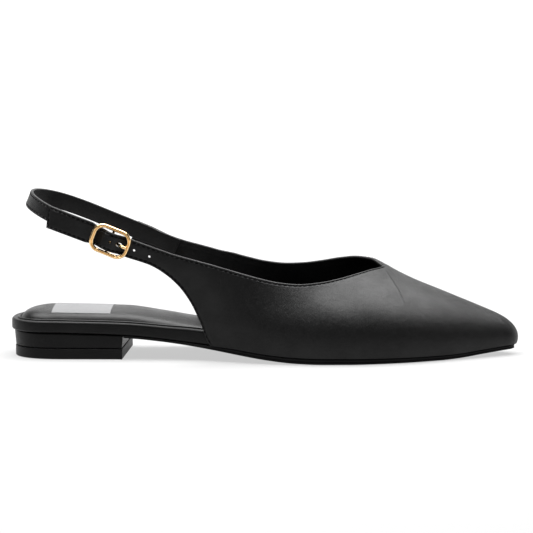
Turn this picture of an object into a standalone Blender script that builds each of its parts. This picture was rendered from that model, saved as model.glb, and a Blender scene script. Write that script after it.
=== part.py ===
"""A pointed flat with a sling back, right foot, at its real size.

Metres, +Z up. The toe points along +X and the outer side of the foot is at -Y.
The origin is the middle of the heel's walking face, which lies on the floor at z = 0.
"""
import math

import bmesh
import bpy
import numpy as np
from mathutils import Matrix, Vector

# Driving sizes, in metres
FOOTBED_LENGTH = 0.2656      # from the back of the footbed to its toe point
BALL_WIDTH = 0.0792          # footbed at its widest
SEAT_WIDTH = 0.0508          # footbed over the heel
HEEL_LENGTH = 0.0602
HEEL_WIDTH = 0.0500
HEEL_HEIGHT = 0.0145         # floor to the underside of the footbed
TOP_PIECE_THICKNESS = 0.0054
HEEL_TAPER = 0.0006          # how far the block draws in towards the floor
HEEL_ROUND = 0.48            # share of the heel's length taken by its round back
EASE = 0.0003                # softened edges of the heel and the sling
SEAT_OVERHANG = 0.00135      # footbed behind the heel
SOLE_THICKNESS = 0.0031
TOE_SPRING = 0.0027
WELT = 0.0008                # sole beyond the footbed under the forepart
WAIST_INSET = 0.0004         # sole inside the footbed under the waist
WAIST_START = 0.33           # share of the length from which the sole widens under the forepart
WAIST_RUN = 0.14
RIB_DEPTH = 0.0004           # groove between the two ribs of the sole's edge
FOOTBED_THICKNESS = 0.0062
SOCK_THICKNESS = 0.0056      # over the seat, and less forward of it
SOCK_MARGIN = 0.0032         # footbed rim left bare round the sock
SOCK_ROUND = 0.0148          # width over which the sock's edge rounds up to its crown
UPPER_WALL = 0.0016
THROAT_HEIGHT = 0.0464       # floor to the point of the throat
THROAT_TILT = 0.30           # rise of the vamp across the throat's point, towards the inner side
STRAP_HEIGHT = 0.0747        # floor to the sling's plane above the origin
STRAP_PITCH = math.radians(22.15)
STRAP_ROLL = math.radians(3.0)
SLING_WIDTH = 0.0082
SLING_WIDENING = 0.0010      # more over the inner side of the heel
SLING_THICKNESS = 0.0016
SLING_REACH = 0.0320         # heel curve of the sling, back to where it runs straight
SLING_START = 0.0092         # where that curve begins, forward of the origin
SLING_OUTER_HALF = 0.3611 * BALL_WIDTH
SLING_INNER_HALF = 0.3510 * BALL_WIDTH
SLING_LAP = 0.0545           # end of the sling inside the inner quarter, along X
TAIL_DROP = 0.0028           # inner quarter's tail below the sling's lower edge
HOLED_STRAP_WIDTH = 0.0100
FREE_END_EXTRA = 0.0015      # more over its free end, past a shoulder behind the buckle
STRAP_SHOULDER = 0.0040
FREE_END_LENGTH = 0.0372     # from the buckle's bar back to the cut end
FREE_END_DROOP = 0.0013
FREE_END_CUT = 0.0038        # lean of the cut across the free end, which stands upright
BUCKLE_PLACE = 0.0270        # buckle's bar, forward of the origin along the strap
OUTER_RUN_ON = 0.0350        # how far the strap's line is followed past the bar
BUCKLE_LENGTH = 0.0210
BUCKLE_HEIGHT = 0.0153
BUCKLE_CORNER = 0.0058
BUCKLE_STOCK = 0.0020
BAR_RADIUS = 0.0007
LOOP_WALL = 0.0008
PRONG_RADIUS = 0.0008
PRONG_HOLE = 0.0034
PINHOLE = 0.0013
BAR_HOLE_PLACE = 0.0002      # open hole over the bar, from the bar
HOLE_START = 0.0132          # first open hole towards the quarter, from the bar
HOLE_PITCH = 0.0085
HOLE_COUNT = 2               # open holes between the buckle and the quarter
GAP = 0.0003

# Everything measured along the shoe starts at the back of the footbed
BACK = -HEEL_LENGTH / 2 - SEAT_OVERHANG
SEAT_LINE = 0.0958           # share of the length where the seat's round back ends
BREAST = HEEL_LENGTH / 2
ROUND_BACK = 2.0 / 2.35      # the round backs are a little squarer than a half circle

# Footbed and sole, a row for each section.
# along: share of FOOTBED_LENGTH. seat: share of half the SEAT_WIDTH.
# outer, inner: shares of BALL_WIDTH added to it. rise: share of HEEL_HEIGHT.
# spring: share of TOE_SPRING. sole, bed, pad: shares of the sole, footbed and sock thicknesses.
SOLE_COLUMNS = ("along", "seat", "outer", "inner", "rise", "spring", "sole", "bed", "pad")
SOLE_ROWS = [
    (0.0958, 1.00, 0.000, 0.000, 0.860, 0.00, 0.42, 0.95, 1.00),
    (0.2298, 1.00, 0.003, -0.002, 0.785, 0.00, 0.40, 1.00, 1.00),
    (0.3072, 0.60, 0.133, 0.121, 0.655, 0.00, 0.40, 1.05, 0.74),
    (0.3849, 0.25, 0.276, 0.243, 0.463, 0.00, 0.55, 1.18, 0.26),
    (0.4653, 0.00, 0.432, 0.359, 0.243, 0.00, 0.90, 0.85, 0.20),
    (0.5223, 0.00, 0.486, 0.407, 0.103, 0.00, 0.94, 0.62, 0.20),
    (0.5713, 0.00, 0.516, 0.444, 0.025, 0.00, 1.00, 0.50, 0.20),
    (0.6219, 0.00, 0.533, 0.467, 0.000, 0.00, 1.00, 0.45, 0.20),
    (0.6800, 0.00, 0.528, 0.465, 0.000, 0.00, 0.97, 0.42, 0.20),
    (0.7336, 0.00, 0.493, 0.434, 0.000, 0.00, 0.92, 0.40, 0.20),
    (0.7762, 0.00, 0.449, 0.395, 0.000, 0.00, 0.87, 0.40, 0.20),
    (0.8547, 0.00, 0.325, 0.280, 0.000, 0.00, 0.81, 0.40, 0.20),
    (0.8943, 0.00, 0.250, 0.210, 0.000, 0.15, 0.77, 0.40, 0.20),
    (0.9343, 0.00, 0.167, 0.138, 0.000, 0.51, 0.74, 0.40, 0.20),
    (0.9747, 0.00, 0.083, 0.070, 0.000, 0.85, 0.71, 0.40, 0.20),
    (0.9945, 0.00, 0.036, 0.033, 0.000, 0.98, 0.71, 0.40, 0.20),
    (1.0000, 0.00, 0.000, 0.000, 0.000, 1.00, 0.71, 0.40, 0.20),
]

# Edge of the footbed: share of its height and how far it is rounded in, in metres
BED_SECTION = [(0.0, 0.0008), (0.12, 0.0002), (0.30, 0.0), (0.72, 0.0), (0.90, 0.0005), (1.0, 0.0015)]

# Edge of the sock: shares of its height and of SOCK_ROUND
SOCK_SECTION = [(0.0, 0.0), (0.09, 0.0), (0.13, 0.14), (0.34, 0.20), (0.62, 0.36), (0.86, 0.68), (1.0, 1.0)]

# Quarters, a row for each rib between the back curve and the topline.
# along: share of FOOTBED_LENGTH. side: share of BALL_WIDTH. height: share of THROAT_HEIGHT.
# lean: degrees that the wall leans in at its top.
QUARTER_COLUMNS = ("low_along", "low_side", "low_height", "top_along", "top_side", "top_height", "lean")
OUTER_QUARTER = [
    (0.289, 0.396, 1.081, 0.309, 0.402, 1.261, 0),
    (0.318, 0.399, 0.983, 0.337, 0.404, 1.206, 2),
    (0.347, 0.399, 0.831, 0.364, 0.407, 1.164, 4),
    (0.370, 0.394, 0.636, 0.388, 0.409, 1.127, 5),
    (0.386, 0.390, 0.433, 0.411, 0.412, 1.092, 6),
]
INNER_QUARTER = [
    (0.289, 0.386, 1.072, 0.309, 0.394, 1.287, 0),
    (0.318, 0.386, 0.986, 0.337, 0.396, 1.232, 2),
    (0.347, 0.381, 0.853, 0.364, 0.399, 1.190, 4),
    (0.370, 0.371, 0.647, 0.388, 0.400, 1.153, 5),
    (0.386, 0.361, 0.438, 0.411, 0.402, 1.116, 6),
]

# Forepart beside the throat, a row for each rib from the sole up to the topline.
# foot: share of the upper's own foot line, from the back of the footbed to its toe point.
FORE_COLUMNS = ("foot", "top_along", "top_side", "top_height", "lean")
OUTER_FORE = [
    (0.404, 0.435, 0.414, 1.052, 8),
    (0.440, 0.468, 0.417, 0.997, 11),
    (0.485, 0.507, 0.415, 0.937, 17),
    (0.530, 0.545, 0.408, 0.893, 25),
    (0.575, 0.582, 0.391, 0.875, 33),
    (0.620, 0.620, 0.348, 0.888, 43),
    (0.664, 0.658, 0.271, 0.919, 53),
    (0.710, 0.690, 0.177, 0.955, 61),
    (0.751, 0.718, 0.069, 0.982, 65),
]
INNER_FORE = [
    (0.404, 0.435, 0.403, 1.088, 8),
    (0.440, 0.468, 0.404, 1.037, 11),
    (0.485, 0.507, 0.400, 0.990, 17),
    (0.530, 0.545, 0.388, 0.972, 25),
    (0.575, 0.582, 0.366, 0.984, 33),
    (0.620, 0.620, 0.328, 1.018, 42),
    (0.664, 0.658, 0.265, 1.063, 54),
    (0.710, 0.690, 0.196, 1.086, 70),
    (0.751, 0.718, 0.120, 1.074, 86),
]

# Vamp, a row for each rib from the sole up to the ridge, from the throat's point to the toe.
# side: towards the inner side of the foot.
RIDGE_COLUMNS = ("foot", "top_along", "top_side", "top_height", "tilt")
RIDGE = [
    (0.788, 0.742, 0.038, 0.996, 1.00),
    (0.822, 0.776, 0.040, 0.906, 0.57),
    (0.856, 0.813, 0.040, 0.818, 0.27),
    (0.890, 0.852, 0.038, 0.733, 0.10),
    (0.921, 0.890, 0.033, 0.646, 0.00),
    (0.949, 0.922, 0.028, 0.572, 0.00),
    (0.974, 0.949, 0.023, 0.508, 0.00),
    (0.991, 0.966, 0.019, 0.466, 0.00),
    (1.000, 0.975, 0.015, 0.440, 0.00),
]

# Foot share from which the ribs' tops stand in one plane towards the throat's point
STEADY_FROM = 0.664

# How far the wall flares out at its foot, in degrees, at shares of FOOTBED_LENGTH
FLARE_COLUMNS = ("along", "flare")
FLARE = [(0.30, 0.0), (0.45, 4.0), (0.60, 8.0), (0.80, 14.0), (1.01, 24.0)]

OUTER, INNER = -1, 1

for leftover in list(bpy.data.objects):
    bpy.data.objects.remove(leftover, do_unlink=True)
SHOE = bpy.data.collections.new("sling_back_flat")
CUTTERS = bpy.data.collections.new("cutters")
for group in (SHOE, CUTTERS):
    bpy.context.scene.collection.children.link(group)


def make_material(name, colour, roughness, metallic=0.0):
    material = bpy.data.materials.new(name)
    material.use_nodes = True
    shader = material.node_tree.nodes["Principled BSDF"]
    shader.inputs["Base Color"].default_value = (*colour, 1.0)
    shader.inputs["Roughness"].default_value = roughness
    shader.inputs["Metallic"].default_value = metallic
    return material


def smooth_curve(places, values, wanted):
    """Reads values at the wanted places along a smooth curve that never overshoots its rows."""
    places = np.asarray(places, float)
    values = np.asarray(values, float)
    step = np.diff(places)
    rise = np.diff(values) / step
    slope = np.zeros(len(values))
    slope[0], slope[-1] = rise[0], rise[-1]
    for k in range(1, len(values) - 1):
        if rise[k - 1] * rise[k] > 0:
            first = 2 * step[k] + step[k - 1]
            second = step[k] + 2 * step[k - 1]
            slope[k] = (first + second) / (first / rise[k - 1] + second / rise[k])
    wanted = np.clip(np.asarray(wanted, float), places[0], places[-1])
    k = np.clip(np.searchsorted(places, wanted, side="right") - 1, 0, len(step) - 1)
    t = (wanted - places[k]) / step[k]
    h = step[k]
    return (values[k] * (2 * t**3 - 3 * t**2 + 1) + slope[k] * h * (t**3 - 2 * t**2 + t)
            + values[k + 1] * (3 * t**2 - 2 * t**3) + slope[k + 1] * h * (t**3 - t**2))


def column(rows, names, name):
    return np.array([row[names.index(name)] for row in rows], float)


def named(rows, names):
    """The rows of a table with their columns' names."""
    return [dict(zip(names, row)) for row in rows]


def along_to_x(share):
    return BACK + share * FOOTBED_LENGTH


def sole_value(name, share):
    rows = column(SOLE_ROWS, SOLE_COLUMNS, name)
    return smooth_curve(column(SOLE_ROWS, SOLE_COLUMNS, "along"), rows, share)


def half_width(share, side):
    """Half width of the footbed at a share of its length, on one side."""
    name = "outer" if side == OUTER else "inner"
    return sole_value("seat", share) * SEAT_WIDTH / 2 + sole_value(name, share) * BALL_WIDTH


def tread_height(share):
    """Height of the sole's underside: arch, flat tread and toe spring."""
    return sole_value("rise", share) * HEEL_HEIGHT + sole_value("spring", share) * TOE_SPRING


def sole_top(share):
    return tread_height(share) + sole_value("sole", share) * SOLE_THICKNESS


def bed_low(share):
    return sole_top(share) + GAP


def bed_high(share):
    return bed_low(share) + sole_value("bed", share) * FOOTBED_THICKNESS


def footbed_stations(back_steps=9, fore_steps=34):
    """Shares of the length and half widths, from the round back of the seat to the toe point."""
    stations = []
    for k in range(back_steps):
        angle = math.pi / 2 * k / back_steps
        share = SEAT_LINE * (1 - math.cos(angle) ** ROUND_BACK)
        wide = math.sin(angle) ** ROUND_BACK
        low = max(share, SEAT_LINE)
        stations.append((share, half_width(low, OUTER) * wide, half_width(low, INNER) * wide))
    for k in range(fore_steps + 1):
        t = k / fore_steps
        eased = 1 - (1 - t) ** 1.35
        share = SEAT_LINE + (1 - SEAT_LINE) * eased
        stations.append((share, float(half_width(share, OUTER)), float(half_width(share, INNER))))
    return stations


def loop_of(stations):
    """Closed outline in plan: out along the outer side, back along the inner side."""
    outer = [(along_to_x(s), -o) for s, o, i in stations]
    inner = [(along_to_x(s), i) for s, o, i in stations]
    return outer, inner


def outward_normals(points):
    """Normals of a line of plan points that runs forward, pointing to its right."""
    points = np.array(points)
    run = np.gradient(points, axis=0)
    run /= np.maximum(np.linalg.norm(run, axis=1), 1e-9)[:, None]
    return np.stack([run[:, 1], -run[:, 0]], axis=1)


def offset_outline(stations, outward, closed_back=True):
    """The outline moved outward by a distance for each station, less where the toe is narrow."""
    lines = []
    widths = np.array([max(o, i) for s, o, i in stations])
    room = np.array([widths[k:].max() if widths[k:].size else 0 for k in range(len(stations))])
    outward = np.broadcast_to(np.asarray(outward, float), (len(stations),)).copy()
    inward = outward < 0
    outward[inward] = -np.minimum(-outward[inward], 0.45 * room[inward])
    for line, side in zip(loop_of(stations), (OUTER, INNER)):
        normals = outward_normals(line)
        if side == INNER:
            normals = -normals
        if closed_back:
            normals[0] = (-1.0, 0.0)
        normals[-1] = (1.0, 0.0)
        moved = np.array(line) + normals * outward[:, None]
        lines.append(moved)
    return lines


def plate(name, stations, lows, highs, rings, closed_back=True):
    """A plate with the outline of its stations. Each ring is a share of the height and an offset."""
    mesh = bmesh.new()
    levels = []
    for share, outward in rings:
        outer, inner = offset_outline(stations, outward, closed_back)
        heights = lows + (highs - lows) * share
        left = [mesh.verts.new((x, y, h)) for (x, y), h in zip(outer, heights)]
        right = [mesh.verts.new((x, y, h)) for (x, y), h in zip(inner, heights)]
        levels.append((left, right))
    for (left, right), (left_up, right_up) in zip(levels, levels[1:]):
        for k in range(len(left) - 1):
            mesh.faces.new((left[k], left[k + 1], left_up[k + 1], left_up[k]))
            mesh.faces.new((right[k + 1], right[k], right_up[k], right_up[k + 1]))
        mesh.faces.new((right[0], left[0], left_up[0], right_up[0]))
        mesh.faces.new((left[-1], right[-1], right_up[-1], left_up[-1]))
    for (left, right), flip in ((levels[0], True), (levels[-1], False)):
        for k in range(len(left) - 1):
            face = [left[k], left[k + 1], right[k + 1], right[k]]
            mesh.faces.new(reversed(face) if flip else face)
    bmesh.ops.remove_doubles(mesh, verts=mesh.verts, dist=1e-6)
    bmesh.ops.dissolve_degenerate(mesh, edges=mesh.edges, dist=1e-7)
    bmesh.ops.recalc_face_normals(mesh, faces=mesh.faces)
    return finish_mesh(name, mesh)


def finish_mesh(name, mesh, group=None):
    data = bpy.data.meshes.new(name)
    mesh.to_mesh(data)
    mesh.free()
    data.shade_smooth()
    data.set_sharp_from_angle(angle=math.radians(38))
    made = bpy.data.objects.new(name, data)
    (group or SHOE).objects.link(made)
    return made


def paint(made, material):
    made.data.materials.clear()
    made.data.materials.append(material)
    return made


def build_outsole():
    """Thin sole from the heel's breast to the toe, its edge turned into two ribs and a groove."""
    start = (BREAST + GAP - BACK) / FOOTBED_LENGTH
    steps = 40
    stations = []
    for k in range(steps + 1):
        share = start + (1 - start) * (1 - (1 - k / steps) ** 1.35)
        stations.append((share, float(half_width(share, OUTER)), float(half_width(share, INNER))))
    shares = np.array([s for s, o, i in stations])
    waist = np.clip((shares - WAIST_START) / WAIST_RUN, 0, 1)
    edge = -WAIST_INSET + (WELT + WAIST_INSET) * waist * waist * (3 - 2 * waist)
    groove = RIB_DEPTH * (0.3 + 0.7 * waist)
    rings = [(0.0, edge - 1.6 * groove), (0.16, edge), (0.40, edge), (0.52, edge - groove),
             (0.64, edge), (0.90, edge), (1.0, edge - groove)]
    return plate("outsole", stations, tread_height(shares), sole_top(shares), rings, closed_back=False)


def heel_stations():
    """Round back and straight breast of the heel, as shares of the footbed's length."""
    half = HEEL_WIDTH / 2
    round_part = HEEL_LENGTH * HEEL_ROUND
    stations = []
    steps = 9
    for k in range(steps + 1):
        angle = math.pi / 2 * k / steps
        x = BREAST - HEEL_LENGTH + round_part * (1 - math.cos(angle) ** ROUND_BACK)
        wide = math.sin(angle) ** ROUND_BACK
        stations.append(((x - BACK) / FOOTBED_LENGTH, half * wide, half * wide))
    stations.append(((BREAST - BACK) / FOOTBED_LENGTH, half, half))
    return stations


def build_heel():
    """The covered block under the seat and the hard piece that walks on the floor."""
    stations = heel_stations()
    shares = np.array([s for s, o, i in stations])
    low = np.full(len(stations), TOP_PIECE_THICKNESS + GAP)
    high = bed_low(np.maximum(shares, SEAT_LINE)) - GAP
    block = plate("heel_block", stations, low, high,
                  [(0.0, -HEEL_TAPER - EASE), (0.07, -HEEL_TAPER), (0.93, 0.0), (1.0, -EASE)])
    low = np.zeros(len(stations))
    high = np.full(len(stations), TOP_PIECE_THICKNESS)
    top_piece = plate("heel_top_piece", stations, low, high,
                      [(0.0, -HEEL_TAPER - 2 * EASE), (0.12, -HEEL_TAPER), (0.93, -HEEL_TAPER),
                       (1.0, -HEEL_TAPER - EASE)])
    return block, top_piece


def bed_shares(stations):
    return np.maximum(np.array([s for s, o, i in stations]), SEAT_LINE)


def build_footbed():
    stations = footbed_stations()
    shares = bed_shares(stations)
    rings = [(height, -inset) for height, inset in BED_SECTION]
    return plate("footbed_rand", stations, bed_low(shares), bed_high(shares), rings)


def build_sock():
    """Padded sock, set in from the footbed's rim, high over the seat and thin in the forepart."""
    stations = footbed_stations()[:-3]
    shares = bed_shares(stations)
    pad = SOCK_THICKNESS * sole_value("pad", shares)
    low = bed_high(shares) + GAP
    rings = [(height, -SOCK_MARGIN - inset * SOCK_ROUND) for height, inset in SOCK_SECTION]
    return plate("sock", stations, low, low + pad, rings)


def strap_axes():
    """Directions of the sling's tilted plane: towards the toe, across, and up out of the plane."""
    ahead = np.array([math.cos(STRAP_PITCH), 0.0, -math.sin(STRAP_PITCH)])
    across = np.array([0.0, math.cos(STRAP_ROLL), math.sin(STRAP_ROLL)])
    return ahead, across, np.cross(ahead, across)


def sling_line():
    """Middle of the sling in its plane: inner side, half an ellipse round the heel, outer side."""
    inner_run = np.linspace(SLING_LAP / math.cos(STRAP_PITCH), SLING_START, 12)[:-1]
    outer_run = np.linspace(SLING_START, BUCKLE_PLACE + OUTER_RUN_ON, 14)[1:]
    turn = np.linspace(0, math.pi, 61)
    half = np.where(turn < math.pi / 2, SLING_INNER_HALF, SLING_OUTER_HALF)
    bend = np.stack([SLING_START - SLING_REACH * np.sin(turn), half * np.cos(turn)], axis=1)
    line = np.vstack([np.stack([inner_run, np.full(len(inner_run), SLING_INNER_HALF)], axis=1), bend,
                      np.stack([outer_run, np.full(len(outer_run), -SLING_OUTER_HALF)], axis=1)])
    length = np.concatenate([[0], np.cumsum(np.linalg.norm(np.diff(line, axis=0), axis=1))])
    at_bar = np.interp(BUCKLE_PLACE, line[-15:, 0], length[-15:])
    return line, length - at_bar


SLING_LINE, SLING_LENGTHS = sling_line()
AHEAD, ACROSS, OUT_OF_PLANE = strap_axes()


def strap_place(run, out, up):
    """A point at a run along the sling from the buckle's bar, out from its middle and up its width."""
    line, lengths = SLING_LINE, SLING_LENGTHS
    spot = np.array([np.interp(run, lengths, line[:, k]) for k in (0, 1)])
    before = np.array([np.interp(run - 0.0012, lengths, line[:, k]) for k in (0, 1)])
    after = np.array([np.interp(run + 0.0012, lengths, line[:, k]) for k in (0, 1)])
    way = (after - before) / np.linalg.norm(after - before)
    outward = way[1] * AHEAD - way[0] * ACROSS
    point = (np.array([0, 0, STRAP_HEIGHT]) + spot[0] * AHEAD + spot[1] * ACROSS
             + out * outward + up * OUT_OF_PLANE)
    return point, outward


SLING_BACK = SLING_LENGTHS[np.argmin(SLING_LINE[:, 0])]


def soft_step(value):
    share = min(max(value, 0.0), 1.0)
    return share * share * (3 - 2 * share)


def sling_width(run):
    """Wider from the back of the heel along the inner side, and narrow again inside the quarter."""
    widened = soft_step((SLING_BACK - run) / SLING_REACH) * soft_step((run - SLING_LENGTHS[0] - 0.012) / 0.006)
    return SLING_WIDTH + SLING_WIDENING * widened


# Stack at the buckle, measured out from the middle of the sling
FREE_END_FACE = SLING_THICKNESS / 2 + GAP + UPPER_WALL
FRAME_LOW = FREE_END_FACE + GAP
FRAME_OUT = FRAME_LOW + BUCKLE_STOCK / 2
BAR_OUT = FRAME_LOW
LOOP_RADIUS = BAR_RADIUS + 0.00025 + LOOP_WALL
RING_STOCK = 0.00045
RING_RADIUS = BAR_RADIUS + GAP + RING_STOCK
STRAP_RISE = BAR_OUT + RING_RADIUS + RING_STOCK + GAP + UPPER_WALL - FREE_END_FACE
WINDOW_HALF = BUCKLE_LENGTH / 2 - BUCKLE_STOCK
PRONG_EXIT = 0.0050


def strap_face(run):
    """How far out the holed strap's face lies: it climbs over the bar and dips under both ends."""
    slope = np.clip((abs(run) - 0.0010) / (WINDOW_HALF - 0.0011), 0, 1)
    return FREE_END_FACE + STRAP_RISE * 0.5 * (1 + math.cos(math.pi * slope))


def strap_width(run):
    """The free end is wider than the part that passes through the buckle."""
    return HOLED_STRAP_WIDTH + FREE_END_EXTRA * soft_step((-run - WINDOW_HALF) / STRAP_SHOULDER)


def strap_rib(run, out, width, droop=0.0, lead=0.0):
    low, outward = strap_place(run + lead, out, -width / 2 - droop)
    top, outward = strap_place(run, out, width / 2 - droop)
    return dict(low=low, top=top, out=outward, lean=0.0, flare=0.0, steady=0.0)


def holed_strap_ribs():
    """Ribs of the outer strap, from its cut free end through the buckle to the quarter."""
    behind = np.linspace(-FREE_END_LENGTH, -WINDOW_HALF - 0.0015, 11)
    window = np.linspace(-WINDOW_HALF, WINDOW_HALF, 15)
    ribs = []
    for run in [*behind, *window, WINDOW_HALF + 0.0025]:
        share = max(0.0, -run / FREE_END_LENGTH)
        droop = FREE_END_DROOP * share ** 2.5
        lead = FREE_END_CUT * max(0.0, 2 * share - 1)
        ribs.append(strap_rib(run, strap_face(run), strap_width(run), droop, lead))
    return ribs


def inner_tail_ribs():
    """Ribs of the inner quarter's tail, cut as high as the sling inside it and hanging lower."""
    ribs = []
    for run in (0.0250, 0.0215, 0.0180):
        place = SLING_LENGTHS[0] + run
        ribs.append(strap_rib(place, FREE_END_FACE, sling_width(place) + TAIL_DROP, TAIL_DROP / 2))
    return ribs


def feather_line(side):
    """Foot of the upper: the footbed's outline moved out past a gap and the wall."""
    stations = [(s, o, i) for s, o, i in footbed_stations(fore_steps=90) if s >= SEAT_LINE]
    line = offset_outline(stations, GAP + UPPER_WALL, closed_back=False)[0 if side == OUTER else 1]
    normals = outward_normals(line)
    if side == INNER:
        normals = -normals
    normals[-1] = (1.0, 0.0)
    return line, normals


def feather_point(line, normals, foot):
    x = BACK + foot * (line[-1][0] - BACK)
    point = [np.interp(x, line[:, 0], line[:, k]) for k in (0, 1)]
    out = np.array([np.interp(x, line[:, 0], normals[:, k]) for k in (0, 1)])
    share = min((point[0] - BACK) / FOOTBED_LENGTH, 1.0)
    out = out / np.linalg.norm(out)
    return np.array([point[0], point[1], sole_top(share) + GAP]), np.array([out[0], out[1], 0.0])


def flare_at(share):
    return float(smooth_curve(column(FLARE, FLARE_COLUMNS, "along"),
                              column(FLARE, FLARE_COLUMNS, "flare"), share))


def top_point(along, side, height):
    return np.array([along_to_x(along), side * BALL_WIDTH, height * THROAT_HEIGHT])


def ridge_point(row):
    return top_point(row["top_along"], row["top_side"], row["top_height"])


def resample(keys, spans):
    """Columns of a rib table read between its rows, spans times for each row."""
    keys = np.asarray(keys, float)
    rows = np.arange(len(keys))
    wanted = np.linspace(0, len(keys) - 1, (len(keys) - 1) * spans + 1)
    return np.stack([smooth_curve(rows, keys[:, k], wanted) for k in range(keys.shape[1])], axis=1)


def quarter_ribs(side, strap_ribs):
    """Ribs from the strap's end down the back curve to the corner at the sole."""
    table = OUTER_QUARTER if side == OUTER else INNER_QUARTER
    fore = OUTER_FORE if side == OUTER else INNER_FORE
    line, normals = feather_line(side)
    keys = [[*rib["low"], *rib["top"], 0.0] for rib in strap_ribs[-3:]]
    for row in named(table, QUARTER_COLUMNS):
        low = top_point(row["low_along"], side * row["low_side"], row["low_height"])
        top = top_point(row["top_along"], side * row["top_side"], row["top_height"])
        keys.append([*low, *top, row["lean"]])
    for row in named(fore[:3], FORE_COLUMNS):
        low, out = feather_point(line, normals, row["foot"])
        top = top_point(row["top_along"], side * row["top_side"], row["top_height"])
        keys.append([*low, *top, row["lean"]])
    spans = 3
    read = resample(keys, spans)[2 * spans + 1:(2 + len(table)) * spans + spans]
    sideways = np.array([0.0, side, 0.0])
    flare = flare_at(named(fore, FORE_COLUMNS)[0]["foot"])
    return [dict(low=r[:3], top=r[3:6], out=sideways, lean=r[6], flare=flare, steady=0.0) for r in read]


def fore_ribs(side):
    """Ribs beside the throat, from the quarter's corner to the throat's point."""
    fore = OUTER_FORE if side == OUTER else INNER_FORE
    quarter = OUTER_QUARTER if side == OUTER else INNER_QUARTER
    line, normals = feather_line(side)
    point = named(RIDGE, RIDGE_COLUMNS)[0]
    keys = [[row["low_along"], row["top_along"], row["top_side"], row["top_height"], row["lean"]]
            for row in named(quarter[-2:], QUARTER_COLUMNS)]
    keys += [list(row) for row in fore]
    throat_lean = 90 - math.degrees(math.atan(0.14 - side * 0.95 * THROAT_TILT))
    keys.append([point["foot"], point["top_along"], side * point["top_side"], point["top_height"],
                 throat_lean])
    spans = 3
    read = resample(keys, spans)[2 * spans:-1]
    ribs = []
    for foot, along, sideways, height, lean in read:
        low, out = feather_point(line, normals, foot)
        top = top_point(along, side * sideways, height)
        steady = float(smooth_curve([STEADY_FROM, point["foot"]], [0.0, 1.0], foot)) ** 2
        ribs.append(dict(low=low, top=top, out=out, lean=lean, flare=flare_at(foot), steady=steady))
    return ribs


def vamp_ribs(side):
    """Ribs from the sole to the ridge, from the throat's point round to the toe."""
    line, normals = feather_line(side)
    read = named(resample(RIDGE, 3), RIDGE_COLUMNS)
    ribs = []
    for k, row in enumerate(read):
        before, after = ridge_point(read[max(k - 1, 0)]), ridge_point(read[min(k + 1, len(read) - 1)])
        fall = (after[2] - before[2]) / (after[0] - before[0])
        low, out = feather_point(line, normals, row["foot"])
        ribs.append(dict(low=low, top=ridge_point(row), out=out, lean=None, fall=fall, tilt=row["tilt"],
                         flare=flare_at(row["foot"])))
    return ribs


def rib_curve(rib, rows):
    """One rib of the upper as a cubic curve from its foot to its top."""
    low, top, out = rib["low"], rib["top"], rib["out"]
    chord = top - low
    inward = -chord @ out
    upright = chord + inward * out
    tall = np.linalg.norm(upright)
    rise = upright / tall
    flare = math.radians(rib["flare"])
    foot_pull = 0.55 * tall
    reach, steep = max(inward, 0.0), 1.0
    if rib["lean"] is None:
        reach, steep = max(inward, 0.3 * tall), rib["tilt"]
        way = np.array([-out[0], -out[1], -out[0] * rib["fall"] - out[1] * steep * THROAT_TILT])
        way /= np.linalg.norm(way)
        lean = math.acos(way[2])
    else:
        lean = math.radians(rib["lean"])
        upward = rise + rib["steady"] * (np.array([0.0, 0.0, 1.0]) - rise)
        way = upward / np.linalg.norm(upward) * math.cos(lean) - out * math.sin(lean)
        foot_pull *= 0.75 + 0.25 * math.sin(lean)
    straight = 0.75 * tall * max(math.cos(lean), 0.0)
    top_pull = 0.55 * (reach * (1 - steep * (1 - math.sin(lean))) + steep * straight)
    start = low + foot_pull * (rise * math.cos(flare) + out * math.sin(flare))
    end = top - top_pull * way
    t = np.linspace(0, 1, rows + 1)[:, None]
    return ((1 - t)**3 * low + 3 * t * (1 - t)**2 * start + 3 * t * t * (1 - t) * end + t**3 * top)


def upper_sheet(mesh, ribs, rows, flip):
    grid = [[mesh.verts.new(p) for p in rib_curve(rib, rows)] for rib in ribs]
    for here, there in zip(grid, grid[1:]):
        for k in range(rows):
            face = [here[k], there[k], there[k + 1], here[k + 1]]
            mesh.faces.new(reversed(face) if flip else face)


def build_upper():
    """Vamp, quarters and holed strap as one sheet of ribs, given its wall inwards."""
    rows = 9
    mesh = bmesh.new()
    for side, strap in ((OUTER, holed_strap_ribs()), (INNER, inner_tail_ribs())):
        ribs = strap + quarter_ribs(side, strap) + fore_ribs(side) + vamp_ribs(side)
        upper_sheet(mesh, ribs, rows, flip=(side == INNER))
    bmesh.ops.remove_doubles(mesh, verts=mesh.verts, dist=2e-6)
    bmesh.ops.dissolve_degenerate(mesh, edges=mesh.edges, dist=1e-7)
    upper = finish_mesh("upper", mesh)
    wall = upper.modifiers.new("wall", "SOLIDIFY")
    wall.thickness = UPPER_WALL
    wall.offset = -1.0
    wall.use_even_offset = True
    for number, run in enumerate(hole_runs()):
        reach = PRONG_HOLE / 2 if number == 0 else PINHOLE / 2
        cut(upper, hole_cutter("hole_cutter_%d" % number, run, reach))
    return upper


def hole_runs():
    """The prong's hole, then the open holes towards the quarter, and one over the bar."""
    return [PRONG_EXIT] + [HOLE_START + k * HOLE_PITCH for k in range(HOLE_COUNT)] + [BAR_HOLE_PLACE]


def strap_matrix(run, out, up=0.0):
    """Local axes at the buckle: x along the strap, y up its width, z outward."""
    point, outward = strap_place(run, out, up)
    way = np.cross(OUT_OF_PLANE, outward)
    columns = np.stack([way, OUT_OF_PLANE, outward], axis=1)
    return Matrix.Translation(Vector(point)) @ Matrix(columns.tolist()).to_4x4()


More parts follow.
